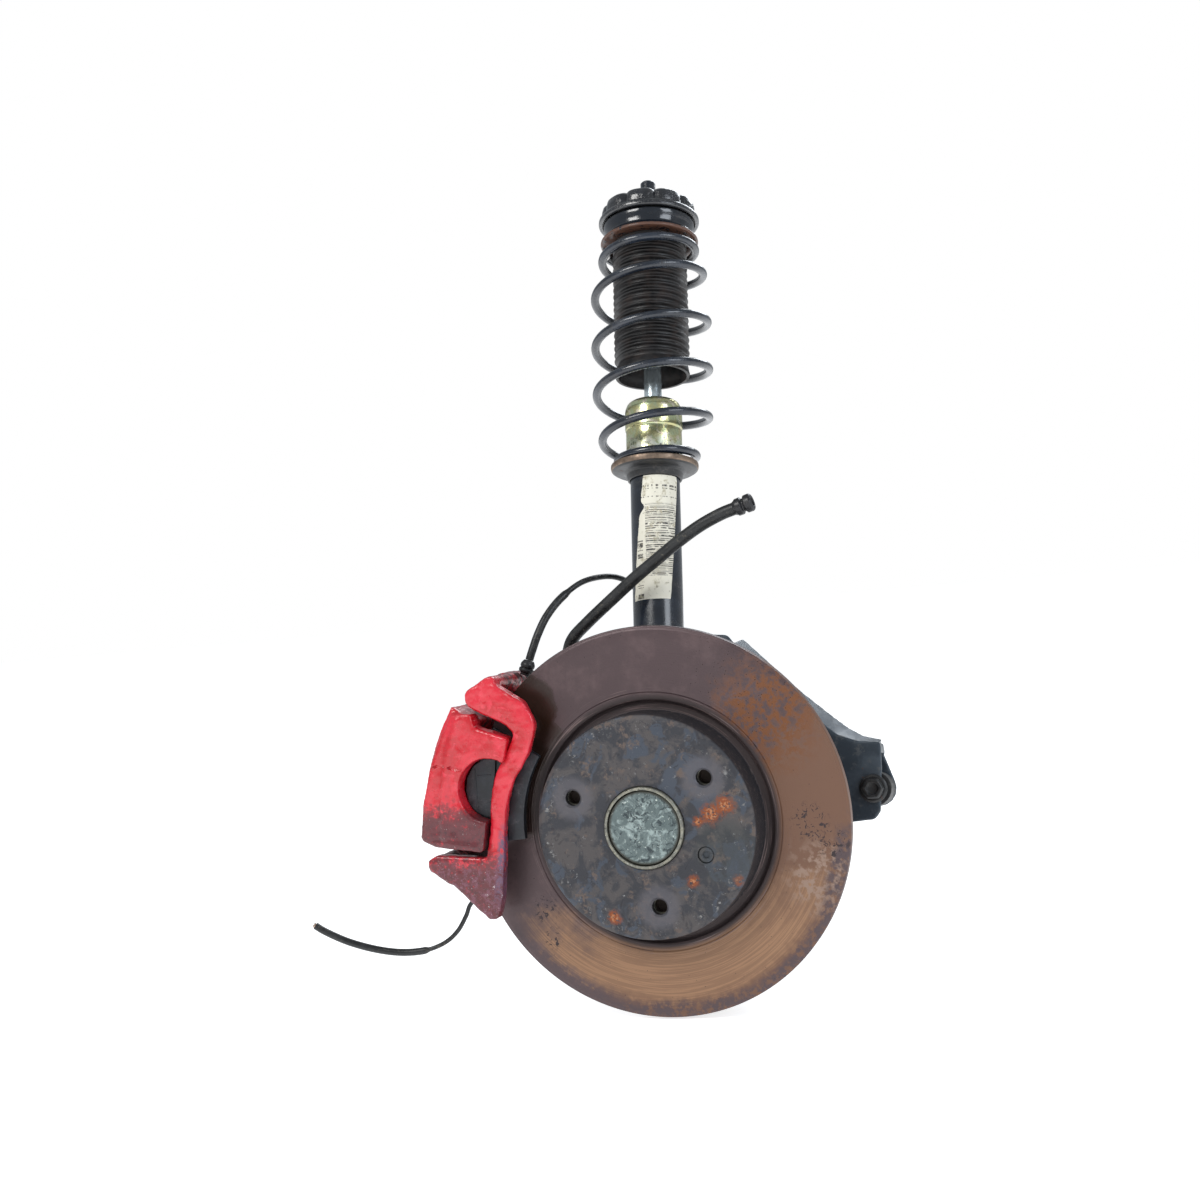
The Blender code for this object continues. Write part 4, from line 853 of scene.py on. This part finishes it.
# ---- cords ----------------------------------------------------------------------------------
HOSE_ROUTE = (
    (-91.2, 73.2, 70.3), (-88.8, 73.0, 82.0), (-85.5, 71.0, 98.0), (-81.0, 67.0, 116.0),
    (-74.0, 62.5, 131.8), (-59.7, 61.5, 144.6), (-34.8, 60.0, 163.2), (-17.0, 58.0, 176.0),
    (1.9, 56.0, 188.2), (20.0, 54.0, 199.8), (37.5, 52.0, 209.4), (54.0, 50.5, 216.2),
    (66.0, 50.0, 219.6),
)
LEAD_ROUTE = (
    (-99.2, 33.4, 120.2), (-96.8, 34.2, 126.5), (-92.0, 38.0, 139.5), (-86.0, 44.5, 152.5),
    (-77.2, 55.0, 165.0), (-65.3, 70.0, 175.6), (-54.4, 90.0, 179.0), (-45.3, 105.0, 177.2),
    (-38.5, 117.0, 170.5), (-32.0, 124.5, 157.5), (-27.5, 126.5, 144.0), (-26.0, 126.0, 133.3),
)
CUT_LEAD_ROUTE = (
    (-51.3, 54.0, 24.0), (-56.5, 54.2, 23.6), (-64.0, 56.0, 14.0), (-71.0, 58.0, -4.0), (-80.0, 58.5, -19.5),
    (-96.0, 56.0, -35.5),
    (-121.0, 50.0, -46.5), (-148.0, 40.5, -54.5), (-163.6, 34.5, -63.0), (-169.2, 33.5, -73.0),
    (-176.0, 32.0, -83.6), (-185.2, 30.0, -91.6), (-197.0, 28.0, -96.6), (-209.5, 25.6, -98.6),
    (-224.5, 22.0, -98.0), (-242.0, 17.6, -94.2), (-260.5, 12.0, -87.2), (-276.0, 6.4, -78.2),
    (-283.6, 3.2, -72.2),
)


def step_between(low, high, at, soft=4.0):
    """A thickness that goes from low to high round a distance along the cord."""
    def radius(travelled):
        t = min(1.0, max(0.0, (travelled - at + soft) / (2 * soft)))
        return low + (high - low) * t * t * (3 - 2 * t)
    return radius


def build_cords():
    points, length = smooth_route(HOSE_ROUTE, 2.0)
    hose = tube("brake_hose_rubber", points, 4.8, CORNER, HOSE, 20)
    settle(hose, "caliper", "rubber", "brake_hose")
    end, run = points[-1], (points[-1] - points[-2]).normalized()
    sleeve = lathe("hose_end_collars", fillet((
        (0.0, -1.2), (5.2, -1.2), (5.6, 0.3), (6.5, 0.9), (6.6, 5.0), (5.0, 5.8), (5.0, 7.2),
        (6.7, 8.0), (6.8, 12.4), (5.6, 13.6), (3.4, 13.6), (3.0, 9.2), (0.0, 9.2),
    ), 0.6), CORNER, PLASTIC, 40, base=along(end, end + run))
    settle(sleeve, "caliper", "black_steel", "hose_end_fitting")

    points, length = smooth_route(LEAD_ROUTE, 1.5)
    lead = tube("wear_sensor_lead_sheath", points, step_between(3.1, 2.25, 62.0, 3.0), CORNER, LEAD, 16)
    settle(lead, "knuckle", "rubber", "wear_sensor_lead")
    first, heading = points[0], (points[1] - points[0]).normalized()
    ferrule = lathe("lead_grommet", fillet((
        (0.0, -12.0), (3.9, -12.0), (3.9, -9.8), (5.6, -9.4), (5.8, -7.0), (4.6, -6.4),
        (5.5, -5.6), (5.5, -3.4), (3.9, -0.5), (0.0, -0.5),
    ), 0.5), CORNER, PLASTIC, 32, base=along(first, first + heading))
    settle(ferrule, "knuckle", "black_plastic", "lead_ferrule")
    dress(PLASTIC, 0.8, "lead_connector")

    points, length = smooth_route(CUT_LEAD_ROUTE, 1.5)
    cut_lead = tube("abs_sensor_lead_sheath", points, step_between(1.7, 2.75, length - 92.0, 2.0),
                    CORNER, LEAD, 16)
    settle(cut_lead, "knuckle", "rubber", "abs_sensor_lead")
    tip, run = points[-1], (points[-1] - points[-2]).normalized()
    strands = lathe("lead_cut_end", fillet((
        (0.0, -1.0), (1.9, -1.0), (1.9, 1.1), (1.2, 1.6), (0.0, 1.6),
    ), 0.3), CORNER, STRANDS, 20, base=along(tip, tip + run))
    settle(strands, "knuckle", "zinc_steel")


# ---- strut ----------------------------------------------------------------------------------
COIL_FRONT = math.radians(-72.0)
WIRE_R = 3.35
# (turn, height of the wire above the hub, radius of the wire's centre line)
COIL_STATIONS = (
    (-0.35, 273.3, 29.2), (0.0, 273.8, 29.6), (0.5, 282.0, 37.5), (1.0, 298.5, 43.2),
    (2.0, 338.5, 45.2), (3.0, 378.0, 45.4), (4.0, 420.0, 44.6), (4.5, 437.0, 40.5),
    (5.0, 447.5, 37.4), (5.5, 452.6, 37.2), (5.7, 453.0, 37.2),
)


def coil_at(turn):
    """Height and radius of the wire's centre line, read smoothly between the stations."""
    stations = COIL_STATIONS
    k = next((i for i in range(len(stations) - 1) if turn <= stations[i + 1][0]), len(stations) - 2)
    (t0, h0, r0), (t1, h1, r1) = stations[k], stations[k + 1]
    s = (turn - t0) / (t1 - t0)

    def slope(index, item):
        low, high = stations[max(index - 1, 0)], stations[min(index + 1, len(stations) - 1)]
        return (high[item] - low[item]) / (high[0] - low[0]) * (t1 - t0)

    return [
        (2 * s**3 - 3 * s**2 + 1) * start + (s**3 - 2 * s**2 + s) * slope(k, item)
        + (3 * s**2 - 2 * s**3) * end + (s**3 - s**2) * slope(k + 1, item)
        for item, start, end in ((1, h0, h1), (2, r0, r1))
    ]


def build_spring(per_turn=64):
    first, last = COIL_STATIONS[0][0], COIL_STATIONS[-1][0]
    count = round((last - first) * per_turn)
    centres = []
    for k in range(count + 1):
        turn = first + (last - first) * k / count
        height, radius = coil_at(turn)
        angle = COIL_FRONT + math.tau * turn
        centres.append(Vector((radius * math.cos(angle), radius * math.sin(angle), height)))
    spring = tube("coil_spring_wire", centres, WIRE_R, STRUT, SPRING_BLACK, 18)
    settle(spring, "spring_carrier", "black_gloss_paint", "coil_spring")
    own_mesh(spring)


def crown_wave(angle, radius, height):
    """Nine lobes with narrow valleys, which fade out towards the rim below and the recess inside."""
    rise = min(1.0, max(0.0, (height - 479.0) / 3.0))
    inside = min(1.0, max(0.0, (radius - 23.5) / 4.0))
    valley = (1.0 - abs(math.cos(4.5 * angle + 0.4))) ** 2.2
    swell = 1.0 + rise * inside * (0.02 - 0.1 * valley)
    return radius * swell, height - 0.7 * rise * inside * valley


def build_crown_and_seat():
    crown = lathe("crown_moulding", fillet((
        (40.3, 473.8), (41.0, 474.8), (41.0, 477.2), (40.0, 478.6), (37.8, 479.6),
        (37.6, 485.0), (36.4, 489.4), (32.6, 491.6), (24.0, 491.8), (20.6, 488.9), (20.2, 481.0),
        (8.6, 481.0), (8.6, 478.4), (33.5, 478.4), (37.6, 476.2), (37.6, 473.8),
    ), 1.2, 4), STRUT, CROWN_BLACK, 216, crown_wave, 60.0)
    settle(crown, "top_mount", "black_gloss_paint", "top_mount_cap")

    def seat_wave(angle, radius, height):
        return radius + 0.15 * math.sin(3 * angle) * math.sin(height / 7.0), height

    seat = lathe("upper_seat_shell", fillet((
        (38.6, 456.7), (39.8, 457.4), (39.7, 459.2), (36.6, 460.6), (35.2, 463.4),
        (35.8, 467.2), (36.8, 470.4), (37.1, 473.4), (33.6, 473.4), (33.6, 459.4),
        (21.0, 459.4), (21.0, 456.7),
    ), 0.9), STRUT, SEAT_SHELL, 120, seat_wave)
    settle(seat, "spring_carrier", "black_gloss_paint", "upper_spring_seat")


SHOULDER = 466.0        # above it the rod is a black stud


def build_boot_and_rod():
    ridges, low, high = 18, 353.0, 453.0
    outline = [(29.6, 343.2), (30.0, 344.4), (29.6, 346.5), (29.0, 350.5)]
    for k in range(ridges):
        base, pitch = low + (high - low) / ridges * k, (high - low) / ridges
        outline += [(27.0, base), (27.0, base + 0.3 * pitch), (28.0, base + 0.46 * pitch),
                    (30.0, base + 0.56 * pitch),
                    (30.3, base + 0.66 * pitch), (30.0, base + 0.76 * pitch), (28.0, base + 0.88 * pitch)]
    outline += [(28.2, high + 0.8), (30.0, high + 2.0), (30.0, 456.5), (25.4, 456.5),
                (25.4, 352.0), (26.6, 350.0),
                (27.4, 343.2)]

    def boot_wave(angle, radius, height):
        return radius + 0.12 * noise.noise(Vector((math.cos(angle), math.sin(angle),
                                                   height / 14.0)) * 1.6), height

    boot = lathe("dust_boot_bellows", outline, STRUT, BOOT_RUBBER, 72, boot_wave, 70.0)
    settle(boot, "spring_carrier", "rubber", "dust_boot")

    rod = lathe("chromed_rod", fillet((
        (0.0, 232.0), (15.0, 232.0), (17.2, 234.0), (17.2, 244.0), (7.0, 246.0), (7.0, 465.2), (6.1, 465.2),
        (6.1, 511.2), (4.9, 512.5), (0.0, 512.5),
    ), 0.3), STRUT, CHROME, 56)
    rod.data.materials.append(BLACK)
    to_strut = STRUT.inverted()
    for face in rod.data.polygons:
        if (to_strut @ face.center).z > SHOULDER:
            face.material_index = 1
    settle(rod, "top_mount", "chromed_rod", "piston_rod")


def build_damper():
    tube_body = lathe("damper_tube_skin", fillet((
        (0.0, -46.0), (18.0, -46.0), (19.5, -44.5), (19.5, 317.0), (17.5, 317.0),
        (17.5, -40.0), (0.0, -40.0),
    ), 0.4), STRUT, TUBE_BLACK, 96)
    settle(tube_body, "knuckle", "black_gloss_paint", "damper_tube")

    cap = lathe("damper_cap_shell", fillet((
        (19.9, 275.5), (22.0, 275.5), (22.2, 277.0), (22.1, 297.2), (22.8, 298.6),
        (22.8, 311.0), (22.5, 315.0), (20.8, 319.4), (17.6, 321.6), (12.0, 322.0), (7.5, 321.6),
        (7.5, 319.2), (19.9, 319.2),
    ), 1.4, 4), STRUT, YELLOW, 96)
    settle(cap, "knuckle", "yellow_zinc", "damper_top_cap")
    seam_turn = Matrix.Rotation(math.radians(-52.0), 4, "Z")
    seam = prism("damper_cap_seam", ((21.95, -0.35), (22.45, -0.2), (22.45, 0.2), (21.95, 0.35)),
                 277.5, 296.6, STRUT @ seam_turn, YELLOW)
    settle(seam, "knuckle", "yellow_zinc")


def build_lower_seat():
    dish = lathe("lower_seat_dish", fillet((
        (19.8, 256.8), (21.4, 256.8), (22.4, 262.0), (24.5, 263.4), (32.0, 264.2),
        (34.4, 265.6), (34.8, 267.6), (34.6, 269.6), (33.6, 269.6), (33.2, 267.0), (24.4, 266.6),
        (23.6, 273.2), (19.8, 273.2),
    ), 0.7), STRUT, SEAT_BLACK, 120)
    dish.data.materials.append(RIM_STEEL)
    to_strut = STRUT.inverted()
    for face in dish.data.polygons:
        at = to_strut @ face.center
        face.material_index = 1 if math.hypot(at.x, at.y) > 33.1 and at.z > 265.0 else 0
    settle(dish, "knuckle", "black_steel", "lower_spring_seat")
    pad = lathe("lower_pad_ring", fillet(((24.9, 267.3), (33.0, 267.4), (33.2, 269.8), (30.0, 270.4),
                                          (24.6, 269.9)), 0.8),
                STRUT, RUBBER, 96)
    settle(pad, "knuckle", "rubber", "lower_spring_pad")


def build_label():
    """A thin worn label wrapped on the tube, with a bite out of its left edge."""
    low, high, rows, columns = 158.0, 256.5, 66, 22
    vertices, faces = [], []
    for layer in (19.58, 19.74):
        for i in range(rows + 1):
            t = i / rows
            height = low + (high - low) * t
            ragged = 1.2 * noise.noise(Vector((height / 5.0, 2.0, 0.0)))
            left = -137.0 + 35.5 * t**1.1 + ragged
            left += 11.0 * math.exp(-((height - 231.0) / 3.4) ** 2)
            right = -44.0 + 31.0 * t + 0.9 * noise.noise(Vector((height / 6.0, 9.0, 0.0)))
            if t > 0.97:
                right -= 3.0
            for j in range(columns + 1):
                a = math.radians(left + (right - left) * j / columns)
                vertices.append((layer * math.cos(a), layer * math.sin(a), height))
    wide, sheet = columns + 1, (rows + 1) * (columns + 1)
    for i in range(rows):
        for j in range(columns):
            a, b = i * wide + j, (i + 1) * wide + j
            faces += [[a, b, b + 1, a + 1], [sheet + a, sheet + a + 1, sheet + b + 1, sheet + b]]
    border = [i * wide for i in range(rows)] + [rows * wide + j for j in range(columns)]
    border += [i * wide + columns for i in range(rows, 0, -1)] + list(range(columns, 0, -1))
    for a, b in zip(border, border[1:] + border[:1]):
        faces.append([a, b, sheet + b, sheet + a])
    settle(make("tube_label_film", vertices, faces, STRUT, LABEL), "knuckle", "black_gloss_paint")


# ---- wheel end ------------------------------------------------------------------------------
PIN_BORE_R = 5.3
SCREW_AT = (42.7, -20.1)


def plug(name, radius, x, z, profile=None):
    profile = profile or ((0.0, 10.0), (radius, 10.0), (radius, 40.0), (0.0, 40.0))
    return lathe(name, profile, WHEEL, None, 32, base=Matrix.Translation((x, z, 0.0)))


def build_disc():
    profile = fillet((
        (29.3, 30.5), (75.6, 30.5), (78.6, 29.2), (79.3, 26.5), (79.3, 1.2), (80.2, 0.4),
        (84.4, 0.4), (86.0, 1.6), (87.0, 4.0), (88.4, 4.4), (92.4, 4.4), (92.9, 4.9), (93.6, 5.0),
        (137.4, 5.0), (138.0, 4.5), (139.4, 4.4), (140.0, 3.7), (140.0, -4.2), (139.2, -5.0), (79.0, -5.0),
        (73.6, -1.0), (73.3, 24.5), (29.3, 24.5),
    ), 0.5, 2)
    rows = []
    for k, point in enumerate(profile):
        rows.append(point)
        after = profile[(k + 1) % len(profile)]
        if point[1] > 4.8 and point[0] > 93.0 and after[0] - point[0] > 20.0:
            rows += [(point[0] + (after[0] - point[0]) * t / 6, point[1]) for t in range(1, 6)]
    disc = lathe("disc_casting", rows, WHEEL, DISC_FACE, 240)
    cutters = []
    for k, (x, z) in enumerate(lug_points()):
        cutters.append(plug("lug_cutter_%d" % k, 5.5, x, z, (
            (0.0, 15.0), (5.5, 15.0), (5.5, 29.0), (7.2, 30.7), (7.2, 40.0), (0.0, 40.0))))
    cutters.append(plug("screw_cutter", 5.9, *SCREW_AT))
    cut(disc, *cutters)
    relook(disc, 32, DISC_FACE, HAT_FACE)
    centre = WHEEL.translation
    for face in disc.data.polygons:
        away = face.center - centre
        near = math.hypot(away.x, away.z) < 79.8 * MM
        face.material_index = 1 if near and away.y < 0.0 else 0
    settle(disc, "wheel_end", "rusty_disc", "brake_disc")

    screw = lathe("locating_screw_head", fillet((
        (0.0, 19.2), (3.8, 19.2), (3.8, 25.2), (5.6, 25.6), (5.6, 29.6), (4.8, 30.2), (0.0, 30.2),
    ), 0.3), WHEEL, HAT_FACE, 36, base=Matrix.Translation((*SCREW_AT, 0.0)))
    socket = prism("screw_socket", circle(*SCREW_AT, 2.6, 6), 28.9, 34.0, WHEEL, None)
    cut(screw, socket)
    relook(screw, None, HAT_FACE)
    settle(screw, "wheel_end", "rusty_disc", "disc_locating_screw")


def build_hub():
    hub = lathe("hub_casting", fillet((
        (26.6, 32.7), (28.2, 32.7), (29.0, 31.6), (29.0, 24.2), (66.5, 24.2), (68.0, 22.7),
        (68.0, 16.0), (34.5, 16.0), (32.0, 13.5), (32.0, -18.0), (26.4, -18.0), (26.4, 12.4), (20.5, 12.4),
        (20.5, 14.6), (24.8, 14.6), (26.5, 22.0),
    ), 0.5), WHEEL, SPIGOT, 120)
    blind = ((0.0, 17.2), (5.2, 17.2), (5.2, 40.0), (0.0, 40.0))
    cutters = [plug("thread_cutter_%d" % k, 5.2, x, z, blind) for k, (x, z) in enumerate(lug_points())]
    cut(hub, *cutters)
    relook(hub, 35, SPIGOT)
    settle(hub, "wheel_end", "cast_iron", "wheel_hub")

    def dented(angle, radius, height):
        if height < 29.0:
            return radius, height
        at = Vector((radius * math.cos(angle), radius * math.sin(angle), 0.0))
        dent = 0.55 * noise.fractal(at / 11.0, 0.9, 2.0, 3) * min(1.0, (27.0 - radius) / 4.0)
        return radius, height - 0.35 + dent

    top = [(26.3 * math.sin(math.pi / 2 * k / 22), 31.4) for k in range(20)]
    cap = lathe("dust_cap_shell", top + [
        (25.2, 31.1), (26.0, 30.2), (26.2, 28.9), (26.2, 23.0), (25.4, 23.0), (25.4, 28.6),
        (22.0, 28.9), (0.0, 28.9),
    ], WHEEL, GALVANISED, 96, dented, 45.0)
    settle(cap, "wheel_end", "galvanised_cap", "hub_dust_cap")


# ---- brake ----------------------------------------------------------------------------------
def bead(name, size, *points):
    """A round bead along a route on the wheel's frame, which a casting's skin takes in."""
    return tube(name, smooth_route(points, 1.5)[0], size, WHEEL, None, 12)


def build_caliper():
    ridge = bead("ridge", 3.4, (-132.0, 84.5, 33.5), (-141.0, 60.0, 34.0), (-146.5, 36.0, 34.2),
                 (-149.0, 14.0, 34.0), (-150.5, -2.0, 33.5))
    rim = bead("rim", 3.4, (-163.0, -4.0, 31.5), (-161.5, 20.0, 32.4), (-155.0, 47.0, 32.6),
               (-143.0, 74.0, 32.0))
    lip = bead("lip", 2.6, (-160.0, -5.0, 33.0), (-143.0, -6.6, 33.4), (-126.0, -9.6, 33.2))
    seam = bead("seam_cutter", 1.15, (-158.0, 50.0, 34.0), (-148.0, 50.6, 35.9), (-138.0, 48.2, 35.4),
                (-130.6, 46.4, 35.0))
    body = cast_from("caliper_body", "caliper_casting", RED_BODY, 1.15, 5, ridge, rim, lip,
                     rough=0.28, lump=7.0,
                     cutters=(seam,))
    settle(body, "caliper", "red_paint", "caliper_body")

    edge = bead("edge", 2.6, (-84.5, 91.5, 28.6), (-77.6, 76.5, 28.6), (-84.5, 55.5, 28.4),
                (-96.5, 38.0, 28.4),
                (-103.6, 20.0, 28.4), (-107.4, -2.0, 28.4), (-109.4, -22.0, 28.4), (-113.0, -46.0, 28.4))
    back_edge = bead("back_edge", 2.4, (-121.0, 91.0, 28.0), (-98.0, 79.5, 28.4), (-90.6, 70.0, 28.6),
                     (-96.0, 58.0, 28.4), (-106.0, 42.0, 28.4), (-111.6, 24.0, 28.2), (-113.8, 4.0, 28.2),
                     (-118.0, -15.0, 28.2))
    bar = cast_from("caliper_bracket", "bracket_casting", RED_BAR, 1.15, 7, edge, back_edge,
                    rough=0.35, lump=6.0)
    for k, (_, x, z) in enumerate(GUIDE_PINS):
        bore = lathe("pin_bore_%d" % k, ((0.0, 0.0), (PIN_BORE_R, 0.0), (PIN_BORE_R, 45.0),
                                         (0.0, 45.0)), CORNER, None,
                     32, base=along((x, 15.2, z), (x, 60.0, z)))
        cut(bar, bore)
    settle(bar, "knuckle", "red_paint", "caliper_bracket")

    dress(PAD_BACK, 0.5, "outer_pad_plate", "inner_pad_plate")
    dress(LINING, 0.4, "outer_pad_lining", "inner_pad_lining")
    window = [(-135.8, 30.0), (-134.0, 21.0), (-129.0, 14.6), (-122.0, 11.0), (-116.6, 10.6), (-114.6, 30.0),
              (-111.8, 42.0), (-110.6, 52.2), (-119.0, 53.0), (-128.0, 48.6), (-134.0, 40.0)]
    shim = prism("pad_shim", window, 20.45, 22.15, WHEEL, PAD_BACK, 0.3)
    settle(shim, "outer_pad", "black_steel")
    ribs = ((-128.0, 17.5, -127.0, 46.0), (-126.0, 40.4, -115.0, 41.4), (-126.0, 21.0, -117.0, 22.0))
    for k, (x0, z0, x1, z1) in enumerate(ribs):
        outline = ((x0, z0), (x1, z0), (x1, z1), (x0, z1))
        rib = prism("shim_rib_%d" % k, outline, 22.0, 22.5, WHEEL, PAD_BACK, 0.2)
        settle(rib, "outer_pad", "black_steel")

    for side, px, pz in GUIDE_PINS:
        outline = [(5.4, 0.1)]
        for k in range(4):
            outline += [(7.4, 0.3 + 2.7 * k), (9.3, 1.2 + 2.7 * k), (9.3, 2.0 + 2.7 * k),
                        (7.5, 2.8 + 2.7 * k)]
        boot = lathe("pin_boot_" + side, outline + [(7.4, 11.2), (5.4, 11.2)], CORNER, RUBBER, 36,
                     base=along((px, 40.3, pz), (px, 60.0, pz)))
        settle(boot, "caliper", "rubber", "guide_pin_boot_" + side)
        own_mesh(boot)


def build_bush_bolt():
    """A round-flange bolt with a low hexagon and a dimple in its head."""
    at = Matrix.Translation((122.4, 104.8, 0.0))
    shank = lathe("bush_bolt", fillet((
        (0.0, -38.0), (4.8, -38.0), (5.8, -37.0), (5.8, 0.3), (10.6, 0.3), (10.6, 1.6),
        (9.0, 2.4), (0.0, 2.4),
    ), 0.3), ARM, SEAT_BLACK, 48, base=at)
    settle(shank, "arm", "black_steel", "front_bush_bolt")

    def hexed(angle, radius, height):
        if radius < 5.0:
            return radius, height
        flat = math.cos(math.pi / 6) / math.cos((angle % (math.pi / 3)) - math.pi / 6)
        return radius * (0.35 + 0.65 * flat), height

    head = lathe("bush_bolt_head", fillet((
        (0.0, 2.2), (8.4, 2.2), (8.4, 6.2), (7.2, 7.6), (4.6, 7.6), (3.9, 6.3), (0.0, 6.1),
    ), 0.5), ARM, SEAT_BLACK, 72, hexed, base=at)
    settle(head, "arm", "black_steel")


def build_arm_and_knuckle():
    knuckle = cast_from("steering_knuckle", "knuckle_casting", IRON, 1.3, 5, rough=0.4, lump=5.0)
    settle(knuckle, "knuckle", "cast_iron", "steering_knuckle")
    arm = cast_from("lower_arm", "arm_pressing", ARM_STEEL, 0.95, 4)
    settle(arm, "arm", "arm_steel", "lower_arm")


def dress_nodes():
    dress(RUBBER, 0.5, "top_mount_rubber", "bump_stop", "piston_boot", "front_arm_bush", "rear_arm_bush")
    dress(PLATED, 0.4, "mount_sleeve", "upper_bearing_race", "lower_bearing_race", "rod_nut",
          "rod_guide", "axle_nut",
          "bearing_inner_ring", "bearing_outer_ring", "abs_ring", "bearing_ball_cage",
          "caliper_piston", "ball_stud")
    dress(GRIMY, 0.5, "pinch_bolt", "bracket_bolt_upper", "bracket_bolt_lower", "guide_pin_upper",
          "guide_pin_lower",
          "bleed_screw", "banjo_fitting", "banjo_bolt", "front_bush_nut")
    dress(SEAT_BLACK, 0.5, "tube_lead_clip", "ball_joint_housing")
    dress(PLASTIC, 0.5, "abs_sensor", "ball_joint_liner")


# ---- stage ----------------------------------------------------------------------------------
def make_stage():
    floor_z = CAD_BOX[0].z - 0.0015
    look = Look("studio_floor", (0.86, 0.86, 0.865), 0.9, Emission_Strength=0.68)
    look.shader.inputs["Emission Color"].default_value = (1.0, 1.0, 1.0, 1.0)
    look.tint(look.noise(400.0, 2.0), (0.84, 0.845, 0.85))
    floor = make("studio_floor", [(-40, -40, floor_z), (40, -40, floor_z), (40, 40, floor_z),
                                  (-40, 40, floor_z)],
                 [[0, 1, 2, 3]], Matrix.Identity(4), look.done())

    world = bpy.data.worlds.new("studio")
    bpy.context.scene.world = world
    world.use_nodes = True
    tree = world.node_tree
    ambient = tree.nodes["Background"]
    ambient.inputs["Color"].default_value = (0.9, 0.95, 1.0, 1.0)
    ambient.inputs["Strength"].default_value = 0.42
    backdrop = tree.nodes.new("ShaderNodeBackground")
    backdrop.inputs["Color"].default_value = (1.0, 1.0, 1.0, 1.0)
    backdrop.inputs["Strength"].default_value = 1.0
    seen = tree.nodes.new("ShaderNodeLightPath")
    choose = tree.nodes.new("ShaderNodeMixShader")
    tree.links.new(seen.outputs["Is Camera Ray"], choose.inputs[0])
    tree.links.new(ambient.outputs[0], choose.inputs[1])
    tree.links.new(backdrop.outputs[0], choose.inputs[2])
    tree.links.new(choose.outputs[0], tree.nodes["World Output"].inputs["Surface"])
    bpy.context.scene.view_settings.view_transform = "Standard"

    def softbox(name, at, target, size, power, colour):
        data = bpy.data.lights.new(name, "AREA")
        data.shape, data.size, data.size_y = "RECTANGLE", *size
        data.energy, data.color = power, colour
        lamp = bpy.data.objects.new(name, data)
        bpy.context.scene.collection.objects.link(lamp)
        lamp.location = at
        lamp.rotation_mode = "QUATERNION"
        lamp.rotation_quaternion = (Vector(target) - Vector(at)).to_track_quat("-Z", "Y")

    middle = (CAD_BOX[0] + CAD_BOX[1]) / 2
    softbox("key", (-0.9, -1.9, 1.2), middle, (1.0, 0.8), 30.0, (1.0, 0.99, 0.97))
    softbox("fill", (1.8, -1.0, 0.5), middle, (0.9, 0.9), 14.0, (0.86, 0.92, 1.0))
    softbox("back", (0.4, 1.6, 1.0), middle, (1.2, 0.8), 16.0, (0.9, 0.95, 1.0))


make_camera()
build_cords()
build_crown_and_seat()
build_boot_and_rod()
build_damper()
build_lower_seat()
build_spring()
build_label()
build_disc()
build_hub()
build_caliper()
build_arm_and_knuckle()
build_bush_bolt()
dress_nodes()
make_stage()
